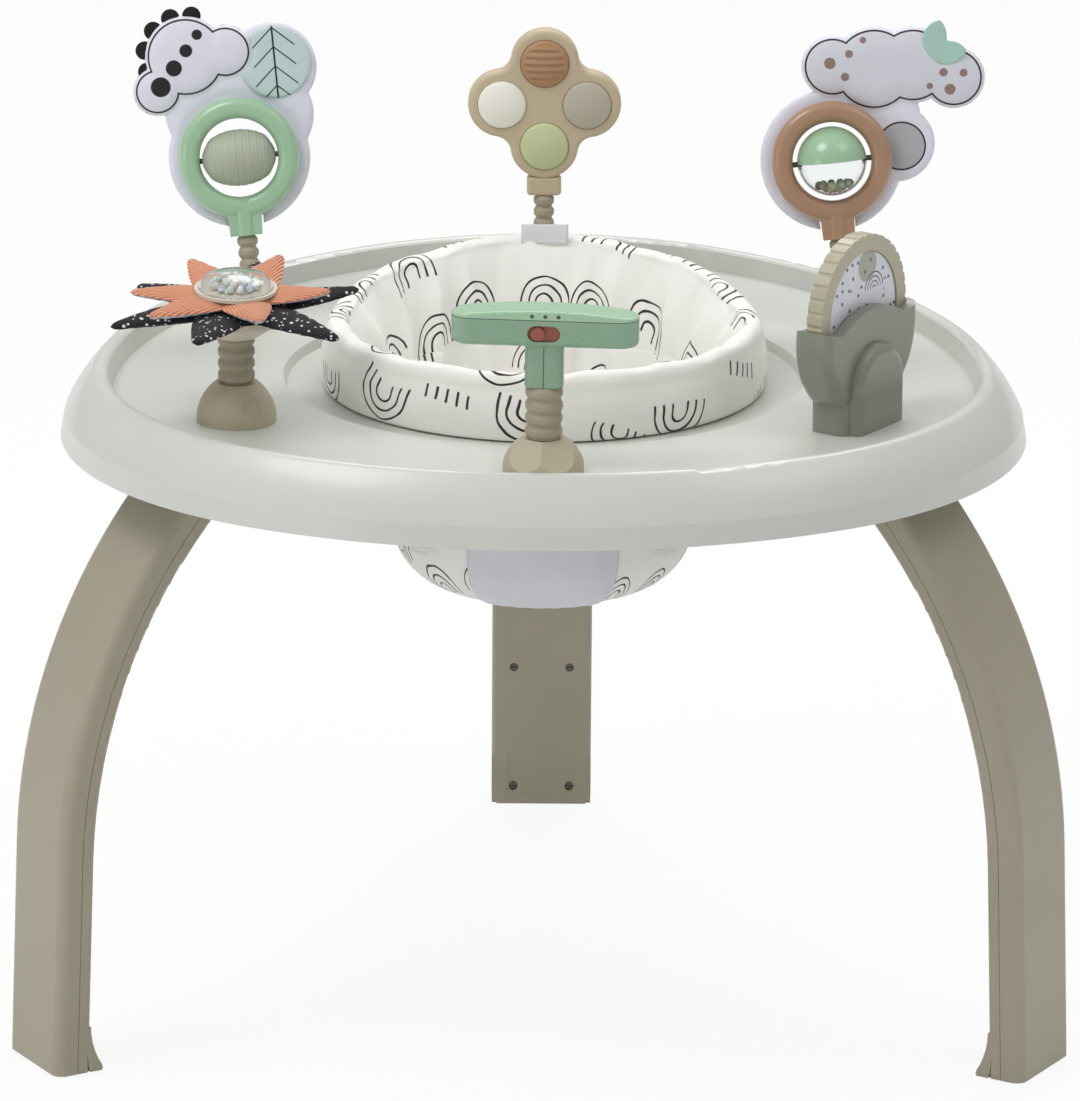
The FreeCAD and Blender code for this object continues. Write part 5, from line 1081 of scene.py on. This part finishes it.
# Each petal: angle in degrees, reach and rise in mm.
ORANGE_PETALS = ((2, 73.0, 3.0), (65, 78.0, 8.0), (119, 78.0, 5.0), (176, 82.0, 0.0), (218, 82.0, 0.0),
                 (288, 68.0, 2.0))
BLACK_PETALS = ((21, 101.0, 2.0), (81, 97.0, 2.0), (146, 95.0, -3.0), (199, 101.0, -6.0), (253, 95.0, 2.0),
                (323, 101.0, -5.0))
orange = ribbed_cloth("orange_cloth", srgb(238, 158, 118), 0.0024)
black = flecked_cloth("black_cloth", srgb(24, 22, 27), srgb(226, 224, 222))
for name, net, table, half, thick, level in (
        ("orange", orange, ORANGE_PETALS, 20.0, 8.0, 101.3),
        ("black", black, BLACK_PETALS, 21.0, 9.0, 92.4)):
    verts, uvs, faces = [], [], []
    for angle, reach, rise in table:
        petal_points(angle, reach, rise, half, thick, level, verts, uvs, faces)
    o = new_object("petals_" + name + "_cloth", verts, faces, net, uvs)
    inflate(o, lambda p: np.full(len(p), 0.0008), 8)
    subdivide(o)
    fabric(o, "flower_head", "petals_" + name)

# ---------- stuffed panels of the ring toys: rounds as (x, z, radius) from the ring's middle ----------
LEFT_HALO = ((0.0, 0.0, 57.0), (-16.0, 38.0, 40.0), (33.0, 69.0, 36.0), (23.0, 31.5, 40.0))
LEFT_CLOUD = ((-35.0, 84.0, 33.0), (-3.0, 85.0, 22.0), (-60.0, 58.5, 20.0))
LEFT_LEAF = ((36.0, 73.0, 29.0),)
RIGHT_HALO = ((0.0, 0.0, 57.0), (33.0, 27.0, 42.0), (53.0, 8.5, 31.0))
RIGHT_CLOUD = ((41.0, 70.0, 34.0), (72.0, 70.0, 31.0), (104.0, 57.0, 25.0), (8.0, 75.0, 25.0))


def depth_in(x, z, rounds):
    return max(r - math.hypot(x - cx, z - cz) for cx, cz, r in rounds)


# A cushion's rise, from 0 at its edge to 1 at a width's depth.
def lens(depth, width):
    s = 1 - clamp(depth / width)
    return math.sqrt(max(0.0, 1 - s * s))


# A closed sewn panel: a grid over the field's inside, its edge drawn onto the outline.
def sewn(name, field, half, plane, matrix, net, box, pitch):
    x0, x1, z0, z1 = box
    nx = int((x1 - x0) / pitch) + 2
    nz = int((z1 - z0) / pitch) + 2
    spots, depths = {}, {}
    for i in range(nx):
        for k in range(nz):
            x, z = x0 + i * pitch, z0 + k * pitch
            f = field(x, z)
            near = abs(f) < pitch * 0.52
            if near:
                for _ in range(4):
                    e = 0.02
                    gx = (field(x + e, z) - field(x - e, z)) / (2 * e)
                    gz = (field(x, z + e) - field(x, z - e)) / (2 * e)
                    g = gx * gx + gz * gz
                    if g < 0.2:
                        break
                    f = field(x, z)
                    x -= f * gx / g
                    z -= f * gz / g
            spots[i, k] = (x, z)
            depths[i, k] = 0.0 if near else f
    cells = []
    for i in range(nx - 1):
        for k in range(nz - 1):
            ring = [(i, k), (i + 1, k), (i + 1, k + 1), (i, k + 1)]
            ring = [q for q in ring if depths[q] >= 0]
            if len(ring) < 3:
                continue
            cx = sum(spots[q][0] for q in ring) / len(ring)
            cz = sum(spots[q][1] for q in ring) / len(ring)
            if field(cx, cz) > 0.02:
                cells.append(ring)
    used, cells = packed(cells)
    n = len(used)
    verts, uvs = [], []
    for side in (-1, 1):
        for q in used:
            x, z = spots[q]
            h = half(x, z, depths[q])
            verts.append(matrix @ Vector((x * MM, (plane + side * h) * MM, z * MM)))
            uvs.append((x * MM, z * MM))
    return new_object(name, verts, two_sided(cells, n), net, uvs)


# Ring hole and neck notch, taken out of both panels.
def ring_field(x, z):
    return min(math.hypot(x, z) - 33.5, max(abs(x) - 14.3, z + 48.2))


# How deep a point lies in a union of rounds, in the material.
def depth_nodes(net, uv, rounds):
    best = None
    for x, z, r in rounds:
        d = net.minus(r * MM, net.length(net.offset(uv, (x * MM, z * MM, 0))))
        best = d if best is None else net.most(best, d)
    return best


SEAM = 0.0032  # how far inside the cloud's edge its line is sewn


# Lilac halo with a whiter stuffed cloud outlined by a sewn line, and plain printed rounds.
def plush_cloth(name, ground, cloud, rounds, prints):
    net = cloth(name, ground, 0.02, 0.0007)
    uv = net.coord("UV")
    depth = depth_nodes(net, uv, rounds)
    tint = net.mix(net.above(depth, SEAM, 0.0003), net.color, cloud)
    for x, z, r, fill, outlined in prints:
        d = depth_nodes(net, uv, ((x, z, r),))
        tint = net.mix(net.above(d, 0.0, 0.0003), tint, fill)
        if outlined:
            tint = net.mix(net.below(net.size(d), 0.0007, 0.0002), tint, INK)
    line = net.below(net.size(net.minus(depth, SEAM)), 0.00075, 0.0002)
    net.give("Base Color", net.mix(line, tint, INK))
    return net


HALO = srgb(232, 233, 244)
SPOT = srgb(30, 27, 32)
PEBBLE = srgb(150, 126, 116)
left_cloth = plush_cloth("left_plush_cloth", HALO, srgb(230, 230, 242), LEFT_CLOUD, (
    (-57.0, 62.0, 8.0, SPOT, False), (-45.0, 76.0, 6.5, SPOT, False),
    (-34.0, 89.0, 5.2, SPOT, False), (-24.0, 101.0, 4.2, SPOT, False)))
right_cloth = plush_cloth("right_plush_cloth", HALO, srgb(222, 222, 232), RIGHT_CLOUD, (
    (57.0, 6.0, 19.0, srgb(184, 184, 188), True), (6.0, 78.0, 4.6, PEBBLE, False), (17.0, 66.0, 3.4, PEBBLE, False),
    (22.0, 84.0, 3.2, PEBBLE, False), (100.0, 48.0, 4.4, PEBBLE, False), (112.0, 60.0, 3.2, PEBBLE, False),
    (96.0, 62.0, 3.4, PEBBLE, False), (34.0, 94.0, 2.6, PEBBLE, False), (84.0, 52.0, 2.6, PEBBLE, False)))
for side, matrix, halo, cloud, net, box in (
        ("left", LEFT_RING, LEFT_HALO, LEFT_CLOUD, left_cloth, (-82.0, 72.0, -60.0, 120.0)),
        ("right", RIGHT_RING, RIGHT_HALO, RIGHT_CLOUD, right_cloth, (-60.0, 132.0, -60.0, 108.0))):
    node = side + "_plush"

    def outline(x, z, halo=halo, cloud=cloud):
        return min(depth_in(x, z, halo + cloud), ring_field(x, z))

    def padding(x, z, d, halo=halo, cloud=cloud):
        thin = 0.7 + 2.2 * lens(d, 7.0)
        full = 0.7 + 6.3 * lens(min(d, depth_in(x, z, cloud)), 17.0)
        return max(thin, full)

    o = sewn(node + "_cloth", outline, padding, 13.3, matrix, net, box, 2.0)
    inv = matrix.inverted()

    def room(points, inv=inv):
        local = np.array([tuple(inv @ Vector(p)) for p in points])
        far = np.hypot(local[:, 0], local[:, 2])
        return 0.0012 * np.clip((far - 0.050) / 0.006, 0.0, 1.0)

    inflate(o, room, 8)
    fabric(o, side + "_ring_head", node)


# Mint round with straight printed veins.
def vein_cloth(name, matrix, x0, slope, veins):
    net = cloth(name, srgb(202, 222, 222), 0.03, 0.0007)
    x, z = net.local(matrix, (0, 2))
    ax = net.size(net.minus(x, x0))
    stem = net.below(ax, 0.0008, 0.0002)
    rib = net.below(net.from_line(net.over(net.plus(z, net.times(ax, slope)), veins)), 0.045, 0.012)
    rib = net.times(rib, net.below(ax, 0.017, 0.0005))
    net.give("Base Color", net.mix(net.most(stem, rib), net.color, INK))
    return net


leaf_net = vein_cloth("left_leaf_cloth", LEFT_RING, 0.036, 0.9, 0.0155)


def leaf_field(x, z):
    return min(depth_in(x, z, LEFT_LEAF), 0.2 - depth_in(x, z, LEFT_CLOUD))


leaf = sewn("left_leaf_cloth", leaf_field, lambda x, z, d: 0.4 + 1.0 * lens(d, 4.0), 9.0, LEFT_RING, leaf_net,
            (4.0, 68.0, 42.0, 104.0), 1.8)
fabric(leaf, "left_ring_head", "left_leaf")

# Five dark tabs on the cloud's biggest round.
tab_net = cloth("tab_cloth", srgb(22, 20, 24), 0.1, 0.0007, 0.04)
tab_x, tab_z, tab_far = LEFT_CLOUD[0]
TABS = tuple((tab_x + tab_far * math.cos(math.radians(a)), tab_z + tab_far * math.sin(math.radians(a)), 7.5)
             for a in (76, 106, 136, 166, 196))
tabs = sewn("left_tabs_cloth", lambda x, z: depth_in(x, z, TABS), lambda x, z, d: 0.4 + 1.1 * lens(d, 3.0), 13.3,
            LEFT_RING, tab_net, (-78.0, -16.0, 62.0, 128.0), 1.2)
fabric(tabs, "left_ring_head", "left_tabs")

sprig_net = cloth("right_leaf_cloth", srgb(176, 212, 200), 0.04, 0.0007)
sprig = remeshed("right_leaf_cloth", "right_leaf", 0.0010, sprig_net, 4)
fabric(sprig, "right_ring_head", "right_leaf")

# ---------- stage, light and camera ----------
# The floor is white for the camera and a plain grey for the light that it throws back.
net = Net("stage_floor")
diffuse = net.add("ShaderNodeBsdfDiffuse")
tone = net.noise(net.coord(), 1.5, 2.0)
net.link(net.mix(tone, (0.90, 0.90, 0.90, 1), (0.93, 0.93, 0.93, 1)), diffuse.inputs[0])
glow = net.add("ShaderNodeEmission")
glow.inputs[1].default_value = 1.0
rays = net.add("ShaderNodeLightPath").outputs
seen = net.most(rays["Is Camera Ray"], net.most(rays["Is Glossy Ray"], rays["Is Transmission Ray"]))
blend = net.add("ShaderNodeMixShader")
net.link(net.times(seen, 0.9), blend.inputs[0])
net.link(diffuse.outputs[0], blend.inputs[1])
net.link(glow.outputs[0], blend.inputs[2])
net.link(blend.outputs[0], net.out.inputs["Surface"])
net.tree.nodes.remove(net.bsdf)
HALF_FLOOR = 15
corners = [(x * HALF_FLOOR, y * HALF_FLOOR, -0.0005) for x, y in ((-1, -1), (1, -1), (1, 1), (-1, 1))]
floor = new_object("stage_floor", corners, [(0, 1, 2, 3)], net, smooth=False)

# The world is white for the camera; as light it is a dome that is brighter above.
world = bpy.data.worlds.new("studio")
bpy.context.scene.world = world
world.use_nodes = True
wt = world.node_tree
wt.nodes.clear()
wout, mixer, rays, white, soft, compass, height, dome = (wt.nodes.new("ShaderNode" + kind) for kind in (
    "OutputWorld", "MixShader", "LightPath", "Background", "Background", "TexCoord", "SeparateXYZ", "MapRange"))
white.inputs[0].default_value = (1, 1, 1, 1)
white.inputs[1].default_value = 1.0
soft.inputs[0].default_value = (1, 1, 1, 1)
for place, value in zip((1, 2, 3, 4), (0.0, 1.0, 0.34, 0.70)):
    dome.inputs[place].default_value = value
for a, b in ((compass.outputs["Generated"], height.inputs[0]), (height.outputs[2], dome.inputs[0]),
             (dome.outputs[0], soft.inputs[1]), (rays.outputs["Is Camera Ray"], mixer.inputs[0]),
             (soft.outputs[0], mixer.inputs[1]), (white.outputs[0], mixer.inputs[2]),
             (mixer.outputs[0], wout.inputs[0])):
    wt.links.new(a, b)


def lamp(name, place, aim, size, power):
    data = bpy.data.lights.new(name, "AREA")
    data.shape = "RECTANGLE"
    data.size, data.size_y = size
    data.energy = power
    o = show(bpy.data.objects.new(name, data))
    o.location = place
    o.rotation_euler = (Vector(aim) - Vector(place)).to_track_quat("-Z", "Y").to_euler()


lamp("key", (-1.6, -0.9, 3.4), (0, 0, 0.4), (1.4, 1.4), 38)
lamp("side", (-2.6, -2.3, 1.0), (0, 0, 0.4), (1.4, 0.8), 9)
lamp("fill", (1.7, -0.7, 2.9), (0, 0, 0.4), (1.6, 1.2), 10)
lamp("back", (0.3, 2.0, 3.0), (0, 0, 0.5), (2.0, 1.0), 34)

# The camera that took the photograph, as solved from it: angles in radians, focal length in its pixels.
PITCH, YAW, ROLL = 0.2968, -0.0002, 0.0067
FOCAL, PHOTO_HEIGHT, SENSOR = 9297.7, 1101, 36.0
cam_data = bpy.data.cameras.new("photo_camera")
cam = show(bpy.data.objects.new("photo_camera", cam_data))
ahead = Vector((math.sin(YAW) * math.cos(PITCH), math.cos(YAW) * math.cos(PITCH), -math.sin(PITCH)))
right = ahead.cross(Vector((0, 0, 1))).normalized()
up = right.cross(ahead)
m = Matrix((right * math.cos(ROLL) + up * math.sin(ROLL), -right * math.sin(ROLL) + up * math.cos(ROLL), -ahead))
m = m.transposed().to_4x4()
m.translation = Vector((-0.00071, -7.0535 + SHIFT, 2.5089))
cam.matrix_world = m
cam_data.sensor_width = SENSOR
cam_data.sensor_fit = "AUTO"
cam_data.lens = FOCAL / PHOTO_HEIGHT * SENSOR
cam_data.clip_end = 60
bpy.context.scene.camera = cam
bpy.context.scene.view_settings.view_transform = "Standard"
